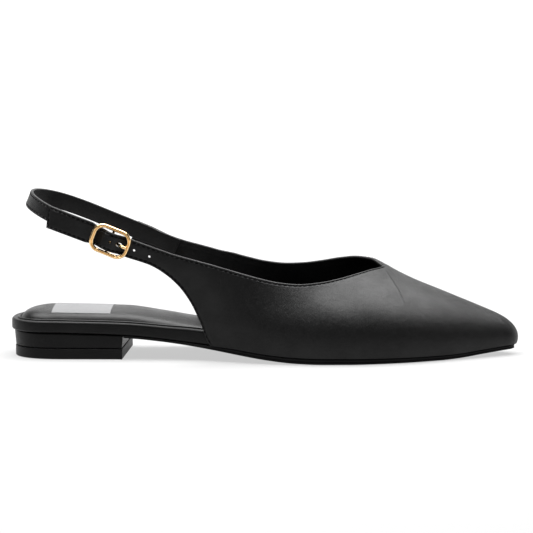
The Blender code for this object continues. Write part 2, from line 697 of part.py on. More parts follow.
def hole_cutter(name, run, reach):
    mesh = bmesh.new()
    bmesh.ops.create_cone(mesh, cap_ends=True, segments=10, radius1=reach, radius2=reach, depth=0.012)
    if reach > PINHOLE:
        for vert in mesh.verts:
            vert.co.y *= 0.70
    mesh.transform(strap_matrix(run, FREE_END_FACE))
    return finish_cutter(name, mesh)


def finish_cutter(name, mesh):
    cutter = finish_mesh(name, mesh, CUTTERS)
    cutter.hide_render = True
    cutter.display_type = "WIRE"
    return cutter


def cut(target, cutter, operation="DIFFERENCE"):
    modifier = target.modifiers.new(cutter.name, "BOOLEAN")
    modifier.operation = operation
    modifier.object = cutter
    modifier.solver = "EXACT"


def sling_profile():
    """Stations of the sling: run, inner face and outer face, swelling into the loop at the bar."""
    half = SLING_THICKNESS / 2
    start = SLING_LENGTHS[0]
    root = -0.0070
    runs = [(run, -half, half) for run in np.linspace(start, root, 52)]
    tangents = []
    for face, turn in ((half, 1), (-half, -1)):
        rise = BAR_OUT - face
        reach = math.hypot(root, rise)
        angle = math.atan2(rise, -root) + turn * math.asin(LOOP_RADIUS / reach)
        touch = root + math.sqrt(reach**2 - LOOP_RADIUS**2) * math.cos(angle)
        tangents.append((math.tan(angle), touch))
    nose = LOOP_RADIUS * 0.985
    for run in (-0.0050, -0.0030, -0.0015, *np.linspace(-0.0008, nose, 9)):
        faces = []
        for (slope, touch), face, turn in zip(tangents, (half, -half), (1, -1)):
            if run < touch:
                faces.append(face + slope * (run - root))
            else:
                faces.append(BAR_OUT + turn * math.sqrt(LOOP_RADIUS**2 - run**2))
        runs.append((run, faces[1], faces[0]))
    return runs


def build_sling():
    """Strap from inside the inner quarter round the heel, its end looped over the buckle's bar."""
    mesh = bmesh.new()
    rings = []
    edge = EASE
    for run, inner, outer in sling_profile():
        half = sling_width(run) / 2
        corners = ((inner, -half + edge), (inner + edge, -half), (outer - edge, -half),
                   (outer, -half + edge), (outer, half - edge), (outer - edge, half),
                   (inner + edge, half), (inner, half - edge))
        rings.append([mesh.verts.new(strap_place(run, out, up)[0]) for out, up in corners])
    for here, there in zip(rings, rings[1:]):
        for k in range(len(here)):
            mesh.faces.new((here[k - 1], here[k], there[k], there[k - 1]))
    mesh.faces.new(rings[0])
    mesh.faces.new(reversed(rings[-1]))
    bmesh.ops.recalc_face_normals(mesh, faces=mesh.faces)
    sling = finish_mesh("sling_strap", mesh)
    hole = bmesh.new()
    bmesh.ops.create_cone(hole, cap_ends=True, segments=14, radius1=LOOP_RADIUS - LOOP_WALL,
                          radius2=LOOP_RADIUS - LOOP_WALL, depth=3 * SLING_WIDTH)
    hole.transform(strap_matrix(0, BAR_OUT) @ Matrix.Rotation(math.pi / 2, 4, "X"))
    cut(sling, finish_cutter("bar_cutter", hole))
    slot = bmesh.new()
    bmesh.ops.create_cube(slot, size=1.0)
    size = (2 * LOOP_RADIUS + 0.0022, 2 * (PRONG_RADIUS + 2 * GAP), 4 * LOOP_RADIUS)
    slot.transform(strap_matrix(0, BAR_OUT) @ Matrix.Diagonal((*size, 1.0))
                   @ Matrix.Translation((0.10, 0, 0)))
    cut(sling, finish_cutter("slot_cutter", slot))
    return sling


def tube(name, points, radius, cyclic=False, resolution=2):
    """A round rod along a list of points, made a mesh with its caps welded."""
    data = bpy.data.curves.new(name, "CURVE")
    data.dimensions = "3D"
    spline = data.splines.new("POLY")
    spline.points.add(len(points) - 1)
    for place, point in zip(spline.points, points):
        place.co = (*point, 1.0)
    spline.use_cyclic_u = cyclic
    data.bevel_depth = radius
    data.bevel_resolution = resolution
    data.use_fill_caps = True
    rod = bpy.data.objects.new(name + "_curve", data)
    SHOE.objects.link(rod)
    bpy.context.view_layer.update()
    evaluated = rod.evaluated_get(bpy.context.evaluated_depsgraph_get())
    solid = bpy.data.meshes.new_from_object(evaluated)
    bpy.data.objects.remove(rod, do_unlink=True)
    mesh = bmesh.new()
    mesh.from_mesh(solid)
    bmesh.ops.remove_doubles(mesh, verts=mesh.verts, dist=1e-6)
    bmesh.ops.recalc_face_normals(mesh, faces=mesh.faces)
    return mesh


def build_buckle():
    """Rounded frame with its centre bar, in the plane of the strap."""
    half_long = (BUCKLE_LENGTH - BUCKLE_STOCK) / 2
    half_tall = (BUCKLE_HEIGHT - BUCKLE_STOCK) / 2
    corner = BUCKLE_CORNER - BUCKLE_STOCK / 2
    points = []
    for quarter in range(4):
        for k in range(7):
            angle = math.pi / 2 * (quarter + k / 6)
            right = 1 if quarter in (0, 3) else -1
            up = 1 if quarter in (0, 1) else -1
            points.append((right * (half_long - corner) + corner * math.cos(angle),
                           up * (half_tall - corner) + corner * math.sin(angle), 0.0))
    mesh = tube("buckle_frame", points, BUCKLE_STOCK / 2, cyclic=True)
    mesh.transform(strap_matrix(0, FRAME_OUT))
    frame = finish_mesh("buckle_frame", mesh)
    bar = bmesh.new()
    bmesh.ops.create_cone(bar, cap_ends=True, segments=12, radius1=BAR_RADIUS, radius2=BAR_RADIUS,
                          depth=2 * half_tall)
    bar.transform(strap_matrix(0, BAR_OUT) @ Matrix.Rotation(math.pi / 2, 4, "X"))
    cut(frame, finish_cutter("bar_piece", bar), "UNION")
    return frame


def build_prong():
    """Ring round the bar and a shank that comes up through its hole to lie on the frame."""
    rest = FRAME_OUT + BUCKLE_STOCK / 2 + GAP + PRONG_RADIUS
    shank = [(0.0011, 0, BAR_OUT - 0.0007), (0.0028, 0, BAR_OUT - 0.0008),
             (0.0041, 0, BAR_OUT + 0.0002), (PRONG_EXIT, 0, BAR_OUT + 0.0014),
             (0.0062, 0, rest - 0.0008), (0.0075, 0, rest - 0.0001), (0.0094, 0, rest)]
    mesh = tube("buckle_prong", shank, PRONG_RADIUS, resolution=3)
    mesh.transform(strap_matrix(0, 0))
    prong = finish_mesh("buckle_prong", mesh)
    points = [(RING_RADIUS * math.cos(a), 0, RING_RADIUS * math.sin(a))
              for a in np.linspace(0, 2 * math.pi, 17)[:-1]]
    ring = tube("prong_ring", points, RING_STOCK, cyclic=True)
    ring.transform(strap_matrix(0, BAR_OUT))
    cut(prong, finish_cutter("prong_ring", ring), "UNION")
    return prong


LEATHER = make_material("black_leather", (0.022, 0.021, 0.021), 0.42)
SOLE_BLACK = make_material("black_sole", (0.016, 0.016, 0.017), 0.62)
GOLD = make_material("pale_gold", (0.90, 0.66, 0.36), 0.22, 1.0)

heel_block, heel_top_piece = build_heel()
paint(build_outsole(), SOLE_BLACK)
paint(heel_block, LEATHER)
paint(heel_top_piece, SOLE_BLACK)
paint(build_footbed(), LEATHER)
paint(build_sock(), LEATHER)
paint(build_upper(), LEATHER)
paint(build_sling(), LEATHER)
paint(build_buckle(), GOLD)
paint(build_prong(), GOLD)
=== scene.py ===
# %% [markdown]
# A pointed flat with a sling back, dressed over its construction model.
# The construction model comes in first and never moves. Every visible piece is then
# built over it at the same real size, in metres, with the toe along +X and the outer
# side of the foot at -Y.

# %% Load the frame
import math

import bmesh
import bpy
import numpy as np
from mathutils import Matrix, Vector


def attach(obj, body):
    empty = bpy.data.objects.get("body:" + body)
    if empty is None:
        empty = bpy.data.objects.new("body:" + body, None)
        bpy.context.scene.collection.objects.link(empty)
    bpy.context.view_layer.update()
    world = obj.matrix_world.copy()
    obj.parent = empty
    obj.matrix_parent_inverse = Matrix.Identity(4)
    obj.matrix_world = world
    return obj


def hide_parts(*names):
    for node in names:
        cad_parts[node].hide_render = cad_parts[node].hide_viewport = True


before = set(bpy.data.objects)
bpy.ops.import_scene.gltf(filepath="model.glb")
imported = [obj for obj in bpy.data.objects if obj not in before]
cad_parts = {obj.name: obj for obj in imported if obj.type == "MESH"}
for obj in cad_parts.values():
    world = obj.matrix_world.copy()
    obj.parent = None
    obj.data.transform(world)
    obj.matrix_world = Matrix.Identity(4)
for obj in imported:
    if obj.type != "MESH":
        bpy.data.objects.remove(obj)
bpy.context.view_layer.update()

MM = 0.001
print("frame nodes:", sorted(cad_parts))

# %% [markdown]
# The camera stands where the photographer stood: three degrees towards the toe, a little
# above the shoe, far away with a long lens. Its rotation is written from three directions,
# right, up and back, because that is all a camera needs.

# %% Camera
VIEW_TURN = math.radians(3.0)
VIEW_RISE = math.radians(6.4)
VIEW_DISTANCE = 1.2
VIEW_ROLL = math.radians(0.35)
VIEW_TARGET = np.array([104.07, 0.0, 46.08]) * MM
LENS = 153.19


def camera_directions(turn, rise):
    back = np.array([math.sin(turn) * math.cos(rise), -math.cos(turn) * math.cos(rise), math.sin(rise)])
    right = np.array([math.cos(turn), math.sin(turn), 0.0])
    return right, np.cross(back, right), back


def place_camera():
    level, plumb, back = camera_directions(VIEW_TURN, VIEW_RISE)
    right = math.cos(VIEW_ROLL) * level - math.sin(VIEW_ROLL) * plumb
    up = math.sin(VIEW_ROLL) * level + math.cos(VIEW_ROLL) * plumb
    data = bpy.data.cameras.new("camera")
    data.lens = LENS
    data.clip_start = 0.05
    camera = bpy.data.objects.new("camera", data)
    turned = Matrix(np.stack([right, up, back], axis=1).tolist()).to_4x4()
    camera.matrix_world = Matrix.Translation(Vector(VIEW_TARGET + VIEW_DISTANCE * back)) @ turned
    bpy.context.scene.collection.objects.link(camera)
    bpy.context.scene.camera = camera
    return camera


CAMERA = place_camera()
print("camera at", [round(v, 3) for v in CAMERA.location])

# %% [markdown]
# The shoe's own sizes. A last is described by a few sections, so each table has a row for
# a section and named columns, and its lengths are shares of the sizes above it. The curve
# that reads between the rows never overshoots them, so a flat tread stays flat.

# %% Sizes of the last and the sole
FOOTBED_LENGTH = 0.2656
BALL_WIDTH = 0.0792
SEAT_WIDTH = 0.0508
HEEL_LENGTH = 0.0602
HEEL_WIDTH = 0.0500
HEEL_HEIGHT = 0.0145
TOP_PIECE_THICKNESS = 0.0054
HEEL_TAPER = 0.0006
SOLE_THICKNESS = 0.0031
TOE_SPRING = 0.0027
WELT = 0.0008
WAIST_INSET = 0.0004
RIB_DEPTH = 0.0004
FOOTBED_THICKNESS = 0.0062
SOCK_THICKNESS = 0.0056
WALL = 0.0016
THROAT_HEIGHT = 0.0464
THROAT_TILT = 0.30
GAP = 0.0003
SEAT_OVERHANG = 0.00135
HEEL_ROUND = 0.48
WAIST_START = 0.33
WAIST_RUN = 0.14
BREAST = HEEL_LENGTH / 2
BACK = -BREAST - SEAT_OVERHANG
SEAT_LINE = 0.0958
OUTER, INNER = -1, 1

SOLE_COLUMNS = ("along", "seat", "outer", "inner", "rise", "spring", "sole", "bed", "pad")
SOLE_ROWS = [
    (0.0958, 1.00, 0.000, 0.000, 0.860, 0.00, 0.42, 0.95, 1.00),
    (0.2298, 1.00, 0.003, -0.002, 0.785, 0.00, 0.40, 1.00, 1.00),
    (0.3072, 0.60, 0.133, 0.121, 0.655, 0.00, 0.40, 1.05, 0.74),
    (0.3849, 0.25, 0.276, 0.243, 0.463, 0.00, 0.55, 1.18, 0.26),
    (0.4653, 0.00, 0.432, 0.359, 0.243, 0.00, 0.90, 0.85, 0.20),
    (0.5223, 0.00, 0.486, 0.407, 0.103, 0.00, 0.94, 0.62, 0.20),
    (0.5713, 0.00, 0.516, 0.444, 0.025, 0.00, 1.00, 0.50, 0.20),
    (0.6219, 0.00, 0.533, 0.467, 0.000, 0.00, 1.00, 0.45, 0.20),
    (0.6800, 0.00, 0.528, 0.465, 0.000, 0.00, 0.97, 0.42, 0.20),
    (0.7336, 0.00, 0.493, 0.434, 0.000, 0.00, 0.92, 0.40, 0.20),
    (0.7762, 0.00, 0.449, 0.395, 0.000, 0.00, 0.87, 0.40, 0.20),
    (0.8547, 0.00, 0.325, 0.280, 0.000, 0.00, 0.81, 0.40, 0.20),
    (0.8943, 0.00, 0.250, 0.210, 0.000, 0.15, 0.77, 0.40, 0.20),
    (0.9343, 0.00, 0.167, 0.138, 0.000, 0.51, 0.74, 0.40, 0.20),
    (0.9747, 0.00, 0.083, 0.070, 0.000, 0.85, 0.71, 0.40, 0.20),
    (0.9945, 0.00, 0.036, 0.033, 0.000, 0.98, 0.71, 0.40, 0.20),
    (1.0000, 0.00, 0.000, 0.000, 0.000, 1.00, 0.71, 0.40, 0.20),
]


def smooth_curve(places, values, wanted):
    """Reads values at the wanted places along a smooth curve that never overshoots its rows."""
    places = np.asarray(places, float)
    values = np.asarray(values, float)
    step = np.diff(places)
    rise = np.diff(values) / step
    slope = np.zeros(len(values))
    slope[0], slope[-1] = rise[0], rise[-1]
    for k in range(1, len(values) - 1):
        if rise[k - 1] * rise[k] > 0:
            first = 2 * step[k] + step[k - 1]
            second = step[k] + 2 * step[k - 1]
            slope[k] = (first + second) / (first / rise[k - 1] + second / rise[k])
    wanted = np.clip(np.asarray(wanted, float), places[0], places[-1])
    k = np.clip(np.searchsorted(places, wanted, side="right") - 1, 0, len(step) - 1)
    t = (wanted - places[k]) / step[k]
    h = step[k]
    return (values[k] * (2 * t**3 - 3 * t**2 + 1) + slope[k] * h * (t**3 - 2 * t**2 + t)
            + values[k + 1] * (3 * t**2 - 2 * t**3) + slope[k + 1] * h * (t**3 - t**2))


def sole_value(name, share):
    rows = np.array(SOLE_ROWS, float)
    return smooth_curve(rows[:, 0], rows[:, SOLE_COLUMNS.index(name)], share)


def half_width(share, side):
    name = "outer" if side == OUTER else "inner"
    return sole_value("seat", share) * SEAT_WIDTH / 2 + sole_value(name, share) * BALL_WIDTH


def tread_height(share):
    return sole_value("rise", share) * HEEL_HEIGHT + sole_value("spring", share) * TOE_SPRING


def sole_top(share):
    return tread_height(share) + sole_value("sole", share) * SOLE_THICKNESS


def bed_low(share):
    return sole_top(share) + GAP


def bed_high(share):
    return bed_low(share) + sole_value("bed", share) * FOOTBED_THICKNESS


def along_to_x(share):
    return BACK + share * FOOTBED_LENGTH


print("ball", round((half_width(0.622, OUTER) + half_width(0.622, INNER)) * 1000, 1), "mm wide")

# %% [markdown]
# Sole, footbed, sock and heel are all plates with the last's outline. A plate is a stack
# of rings: each ring is the outline moved in or out by an amount, at a share of the
# plate's height. Many rings near a corner turn it round, which catches light as a real
# turned edge does. The top is closed by strips across, so it can also be crowned.

# %% Plates
ROUND_BACK = 2.0 / 2.35          # the seat's back is a little squarer than a half circle


def outline_stations(start=None, fore_steps=150, back_steps=40):
    """Share of the length, outer half width and inner half width, from the back to the toe."""
    stations = []
    first = SEAT_LINE if start is None else start
    if start is None:
        for k in range(back_steps):
            angle = math.pi / 2 * k / back_steps
            wide = math.sin(angle) ** ROUND_BACK
            share = SEAT_LINE * (1 - math.cos(angle) ** ROUND_BACK)
            stations.append((share, half_width(SEAT_LINE, OUTER) * wide, half_width(SEAT_LINE, INNER) * wide))
    for k in range(fore_steps + 1):
        share = first + (1 - first) * (1 - (1 - k / fore_steps) ** 1.35)
        stations.append((share, float(half_width(share, OUTER)), float(half_width(share, INNER))))
    return stations


def heel_stations(steps=40):
    """Round back and straight breast of the heel, as shares of the footbed's length."""
    round_part = HEEL_LENGTH * HEEL_ROUND
    stations = []
    for k in range(steps + 1):
        angle = math.pi / 2 * k / steps
        x = -BREAST + round_part * (1 - math.cos(angle) ** ROUND_BACK)
        wide = HEEL_WIDTH / 2 * math.sin(angle) ** ROUND_BACK
        stations.append(((x - BACK) / FOOTBED_LENGTH, wide, wide))
    for x in np.linspace(-BREAST + round_part, BREAST, 14)[1:]:
        stations.append(((x - BACK) / FOOTBED_LENGTH, HEEL_WIDTH / 2, HEEL_WIDTH / 2))
    return stations


def line_normals(line, side):
    run = np.gradient(np.asarray(line), axis=0)
    run /= np.maximum(np.linalg.norm(run, axis=1), 1e-9)[:, None]
    return np.stack([run[:, 1], -run[:, 0]], axis=1) * (1 if side == OUTER else -1)


def offset_outline(stations, outward, closed_back=True):
    """Both sides of the outline moved outward, less where the toe leaves no room."""
    widest = np.array([max(o, i) for s, o, i in stations])
    room = np.maximum.accumulate(widest[::-1])[::-1]
    outward = np.broadcast_to(np.asarray(outward, float), (len(stations),)).copy()
    inward = outward < 0
    outward[inward] = -np.minimum(-outward[inward], 0.45 * room[inward])
    sides = []
    for side, pick in ((OUTER, 1), (INNER, 2)):
        line = np.array([(along_to_x(s[0]), side * s[pick]) for s in stations])
        normals = line_normals(line, side)
        if closed_back:
            normals[0] = (-1.0, 0.0)
        normals[-1] = (1.0, 0.0)
        sides.append(line + normals * outward[:, None])
    return sides


def finish_mesh(name, mesh, sharp=38):
    bmesh.ops.remove_doubles(mesh, verts=mesh.verts, dist=1e-6)
    bmesh.ops.dissolve_degenerate(mesh, edges=mesh.edges, dist=1e-7)
    bmesh.ops.recalc_face_normals(mesh, faces=mesh.faces)
    data = bpy.data.meshes.new(name)
    mesh.to_mesh(data)
    mesh.free()
    data.shade_smooth()
    data.set_sharp_from_angle(angle=math.radians(sharp))
    made = bpy.data.objects.new(name, data)
    bpy.context.scene.collection.objects.link(made)
    return made


def plate(name, stations, lows, highs, rings, closed_back=True, across=12, crown=0.0):
    """A closed plate. A ring is (share of the height, outward); the cap may be crowned."""
    mesh = bmesh.new()
    levels = []
    for share, outward in rings:
        outer, inner = offset_outline(stations, outward, closed_back)
        heights = lows + (highs - lows) * share
        levels.append([[mesh.verts.new((x, y, h)) for (x, y), h in zip(line, heights)]
                       for line in (outer, inner)])
    caps = []
    for (left, right), lift in ((levels[0], 0.0), (levels[-1], crown)):
        strips = [left]
        for j in range(1, across):
            t = j / across
            bulge = Vector((0, 0, lift * 4 * t * (1 - t)))
            strips.append([mesh.verts.new(a.co.lerp(b.co, t) + bulge) for a, b in zip(left, right)])
        strips.append(right)
        caps.append(strips)
        for here, there in zip(strips, strips[1:]):
            for k in range(len(here) - 1):
                mesh.faces.new((here[k], here[k + 1], there[k + 1], there[k]))
    for number, (low, high) in enumerate(zip(levels, levels[1:])):
        for here, there in zip(low, high):
            for k in range(len(here) - 1):
                mesh.faces.new((here[k], here[k + 1], there[k + 1], there[k]))
        for k in (0, -1):
            floor = [strip[k] for strip in caps[0]] if number == 0 else [low[0][k], low[1][k]]
            roof = [strip[k] for strip in caps[1]] if number == len(levels) - 2 else [high[0][k], high[1][k]]
            mesh.faces.new(floor + roof[::-1])
    return finish_mesh(name, mesh)


def round_edge(radius, outward, low, high, steps=6):
    """Rings of a plate whose two corners are rounded, with a flat side between them."""
    rings = []
    for k in range(steps + 1):
        angle = math.pi / 2 * k / steps
        rings.append((low * (1 - math.cos(angle)), outward - radius * (1 - math.sin(angle))))
    for k in range(steps + 1):
        angle = math.pi / 2 * k / steps
        rings.append((1 - high * (1 - math.sin(angle)), outward - radius * (1 - math.cos(angle))))
    return rings


print("outline stations:", len(outline_stations()))

# %% [markdown]
# The outsole is one thin moulded piece. Under the waist it stays just inside the footbed,
# under the forepart it stands out as a narrow welt, and its edge is turned into two fine
# ribs. A sine without its sign has two humps over the edge's height and makes both ribs.

# %% Outsole
def build_outsole():
    stations = outline_stations(start=(BREAST + GAP - BACK) / FOOTBED_LENGTH, fore_steps=220)
    shares = np.array([s[0] for s in stations])
    waist = np.clip((shares - WAIST_START) / WAIST_RUN, 0, 1)
    edge = -WAIST_INSET + (WELT + WAIST_INSET) * waist * waist * (3 - 2 * waist)
    depth = RIB_DEPTH * (0.3 + 0.7 * waist)
    rings = [(0.0, edge - 2.4 * depth), (0.02, edge - 1.6 * depth)]
    for share in np.linspace(0.06, 0.97, 22):
        hump = abs(math.sin(2 * math.pi * (share - 0.03) / 0.97)) ** 0.5
        rings.append((share, edge - depth * (1 - hump)))
    rings.append((1.0, edge - 1.4 * depth))
    return plate("outsole_sole", stations, tread_height(shares), sole_top(shares), rings, closed_back=False)


OUTSOLE = build_outsole()
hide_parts("outsole")
print("outsole faces:", len(OUTSOLE.data.polygons))

# %% [markdown]
# The heel is a low block covered in leather with a hard piece under it. Both have the
# same round back. The block's corners are soft because leather wraps them, and the piece
# below keeps a crisp edge with a hairline between the two.

# %% Heel
def build_heel():
    stations = heel_stations()
    shares = np.array([s[0] for s in stations])
    low = np.full(len(stations), TOP_PIECE_THICKNESS + GAP)
    high = bed_low(np.maximum(shares, SEAT_LINE)) - GAP
    rings = [(share, outward - HEEL_TAPER * (1 - share))
             for share, outward in round_edge(0.0007, 0.0, 0.09, 0.12)]
    block = plate("heel_cover_block", stations, low, high, rings)
    flat = np.zeros(len(stations))
    rings = round_edge(0.0004, -HEEL_TAPER + 0.0002, 0.09, 0.07)
    top_piece = plate("heel_walking_piece", stations, flat, flat + TOP_PIECE_THICKNESS, rings)
    return block, top_piece


HEEL_BLOCK, HEEL_TOP_PIECE = build_heel()
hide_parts("heel_block")
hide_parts("heel_top_piece")
print("heel height:", round(HEEL_BLOCK.dimensions.z * 1000, 1), "mm")

# %% [markdown]
# The footbed is wrapped in leather, and its edge shows all round the heel and waist as a
# band with a soft upper corner. The sock on it is a thin pad: a bead, a stitched groove,
# then a crown. All of that is one section, repeated round the outline, so the section is
# a short table of height shares and distances in from the edge, in millimetres.

# %% Footbed and sock
# Columns: height of the bead in millimetres, share of the pad, how far in in millimetres
SOCK_SECTION = [
    (-0.35, 0.000, 3.15), (0.25, 0.000, 3.05), (0.50, 0.000, 3.15), (0.66, 0.000, 3.40), (0.70, 0.000, 3.65),
    (0.64, 0.000, 3.90), (0.48, 0.000, 4.10), (0.22, 0.000, 4.28), (0.05, 0.000, 4.50), (0.00, 0.000, 4.80),
    (0.05, 0.010, 5.10), (0.16, 0.045, 5.32), (0.22, 0.110, 5.55), (0.22, 0.200, 5.90), (0.22, 0.300, 6.35),
    (0.22, 0.400, 6.95), (0.22, 0.490, 7.70), (0.22, 0.580, 8.70), (0.22, 0.670, 10.00), (0.22, 0.760, 11.70),
    (0.22, 0.850, 14.00), (0.22, 0.920, 16.40), (0.22, 0.960, 18.00),
]
SOCK_GROOVE = 4.8
SOCK_CROWN = 0.45 * MM


def bed_shares(stations):
    """Shares of the stations along the shoe, none further back than the seat's line."""
    return np.maximum([s[0] for s in stations], SEAT_LINE)


def build_footbed():
    stations = outline_stations()
    shares = bed_shares(stations)
    rings = round_edge(0.0011, 0.0, 0.20, 0.22, steps=7) + [(1.0, -0.0024), (0.96, -0.0030)]
    return plate("footbed_edge", stations, bed_low(shares), bed_high(shares), rings)


def sock_stations():
    """Outline as far as the toe, with how much the section is squeezed where it narrows."""
    stations = [s for s in outline_stations() if s[0] < 0.955]
    widest = np.array([max(s[1], s[2]) for s in stations])
    room = np.maximum.accumulate(widest[::-1])[::-1]
    return stations, np.minimum(1.0, 0.45 * room / (SOCK_SECTION[-1][2] * MM))


def build_sock():
    stations, squeeze = sock_stations()
    shares = bed_shares(stations)
    pad = sole_value("pad", shares) * SOCK_THICKNESS
    low = bed_high(shares) + 0.05 * MM
    rings = [(0.0, -7.0 * MM * squeeze)]
    for bead, share, inset in SOCK_SECTION:
        rings.append((bead + share * pad / MM, -inset * MM * squeeze))
    return plate("sock_pad", stations, low, low + MM, rings, across=24, crown=SOCK_CROWN)


RAND = build_footbed()
SOCK = build_sock()
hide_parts("footbed_rand")
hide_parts("sock")
print("sock:", [round(v * 1000, 1) for v in SOCK.dimensions], "mm")

# %% [markdown]
# The sling runs from inside the inner quarter, round the heel and to the buckle. It lies
# in one tilted plane, so a place on it is three numbers: how far along from the buckle's
# bar, how far out from its middle, and how far up its width. The buckle, the prong, the
# holes and the ends of the upper's strap all use the same three numbers.

# %% Sling's line
STRAP_HEIGHT = 0.0747
STRAP_PITCH = math.radians(22.15)
STRAP_ROLL = math.radians(3.0)
SLING_WIDTH = 0.0082
SLING_WIDENING = 0.0010
SLING_THICKNESS = 0.0016
SLING_REACH = 0.0320
SLING_START = 0.0092
SLING_OUTER_HALF = 0.3611 * BALL_WIDTH
SLING_INNER_HALF = 0.3510 * BALL_WIDTH
SLING_LAP = 0.0545
BUCKLE_PLACE = 0.0270
OUTER_RUN_ON = 0.0350
WAY_STEP = 0.0012
AHEAD = np.array([math.cos(STRAP_PITCH), 0.0, -math.sin(STRAP_PITCH)])
ACROSS = np.array([0.0, math.cos(STRAP_ROLL), math.sin(STRAP_ROLL)])
OUT_OF_PLANE = np.cross(AHEAD, ACROSS)


def sling_line():
    """Inner side, half an ellipse round the heel, outer side, and the length from the bar."""
    inner_run = np.linspace(SLING_LAP / math.cos(STRAP_PITCH), SLING_START, 40)[:-1]
    outer_run = np.linspace(SLING_START, BUCKLE_PLACE + OUTER_RUN_ON, 60)[1:]
    turn = np.linspace(0, math.pi, 301)
    half = np.where(turn < math.pi / 2, SLING_INNER_HALF, SLING_OUTER_HALF)
    line = np.vstack([
        np.stack([inner_run, np.full(len(inner_run), SLING_INNER_HALF)], axis=1),
        np.stack([SLING_START - SLING_REACH * np.sin(turn), half * np.cos(turn)], axis=1),
        np.stack([outer_run, np.full(len(outer_run), -SLING_OUTER_HALF)], axis=1)])
    length = np.concatenate([[0], np.cumsum(np.linalg.norm(np.diff(line, axis=0), axis=1))])
    return line, length - np.interp(BUCKLE_PLACE, line[-60:, 0], length[-60:])


SLING_LINE, SLING_LENGTHS = sling_line()


def strap_place(run, out, up):
    """A point at a run along the sling, out from its middle and up its width, and which way is out."""
    def spot(at):
        return np.array([np.interp(at, SLING_LENGTHS, SLING_LINE[:, k]) for k in (0, 1)])
    way = spot(run + WAY_STEP) - spot(run - WAY_STEP)
    way /= np.linalg.norm(way)
    outward = way[1] * AHEAD - way[0] * ACROSS
    here = spot(run)
    point = np.array([0, 0, STRAP_HEIGHT]) + here[0] * AHEAD + here[1] * ACROSS
    return point + out * outward + up * OUT_OF_PLANE, outward


SLING_BACK = SLING_LENGTHS[np.argmin(SLING_LINE[:, 0])]


def soft_step(value):
    share = min(max(value, 0.0), 1.0)
    return share * share * (3 - 2 * share)


def sling_width(run):
    """Wider from the back of the heel along the inner side, and narrow again inside the quarter."""
    widened = soft_step((SLING_BACK - run) / SLING_REACH)
    inside = soft_step((run - SLING_LENGTHS[0] - 0.012) / 0.006)
    return SLING_WIDTH + SLING_WIDENING * widened * inside


def strap_matrix(run, out, up=0.0):
    """Local axes on the strap: x along it, y up its width, z outward."""
    point, outward = strap_place(run, out, up)
    turned = np.stack([np.cross(OUT_OF_PLANE, outward), OUT_OF_PLANE, outward], axis=1)
    return Matrix.Translation(Vector(point)) @ Matrix(turned.tolist()).to_4x4()


print("sling:", round((SLING_LENGTHS[-1] - SLING_LENGTHS[0] - OUTER_RUN_ON) * 1000), "mm to the bar")

# %% [markdown]
# The upper is one shell of thin leather over its lining. It is described as ribs: each rib
# climbs from a foot to a top edge. Ribs of the strap stand across its width, ribs of the
# quarters run from the back curve to the topline, and ribs of the forepart run from the
# sole to the topline or, past the throat, to the ridge. The tables hold only where a rib
# starts and ends, and a cubic curve between them gives the swell of the last.

# %% Ribs of the upper
HOLED_STRAP_WIDTH = 0.0100
FREE_END_EXTRA = 0.0015
STRAP_SHOULDER = 0.0040
TAIL_DROP = 0.0028
FREE_END_LENGTH = 0.0372
FREE_END_DROOP = 0.0013
FREE_END_CUT = 0.0038
BUCKLE_LENGTH = 0.0210
BUCKLE_HEIGHT = 0.0153
BUCKLE_CORNER = 0.0058
BUCKLE_STOCK = 0.0020
BAR_RADIUS = 0.0007
LOOP_WALL = 0.0008
RING_STOCK = 0.00045
BAR_PLAY = 0.00025
PRONG_RADIUS = 0.0008
PRONG_EXIT = 0.0050
FREE_END_FACE = SLING_THICKNESS / 2 + GAP + WALL
BAR_OUT = FREE_END_FACE + GAP
FRAME_OUT = BAR_OUT + BUCKLE_STOCK / 2
LOOP_RADIUS = BAR_RADIUS + BAR_PLAY + LOOP_WALL
RING_RADIUS = BAR_RADIUS + GAP + RING_STOCK
STRAP_RISE = BAR_OUT + RING_RADIUS + RING_STOCK + GAP + WALL - FREE_END_FACE
WINDOW_HALF = BUCKLE_LENGTH / 2 - BUCKLE_STOCK

# Columns: low along, low side, low height, top along, top side, top height, lean
QUARTERS = {
    OUTER: [
        (0.289, 0.396, 1.081, 0.309, 0.402, 1.261, 0),
        (0.318, 0.399, 0.983, 0.337, 0.404, 1.206, 2),
        (0.347, 0.399, 0.831, 0.364, 0.407, 1.164, 4),
        (0.370, 0.394, 0.636, 0.388, 0.409, 1.127, 5),
        (0.386, 0.390, 0.433, 0.411, 0.412, 1.092, 6),
    ],
    INNER: [
        (0.289, 0.386, 1.072, 0.309, 0.394, 1.287, 0),
        (0.318, 0.386, 0.986, 0.337, 0.396, 1.232, 2),
        (0.347, 0.381, 0.853, 0.364, 0.399, 1.190, 4),
        (0.370, 0.371, 0.647, 0.388, 0.400, 1.153, 5),
        (0.386, 0.361, 0.438, 0.411, 0.402, 1.116, 6),
    ],
}
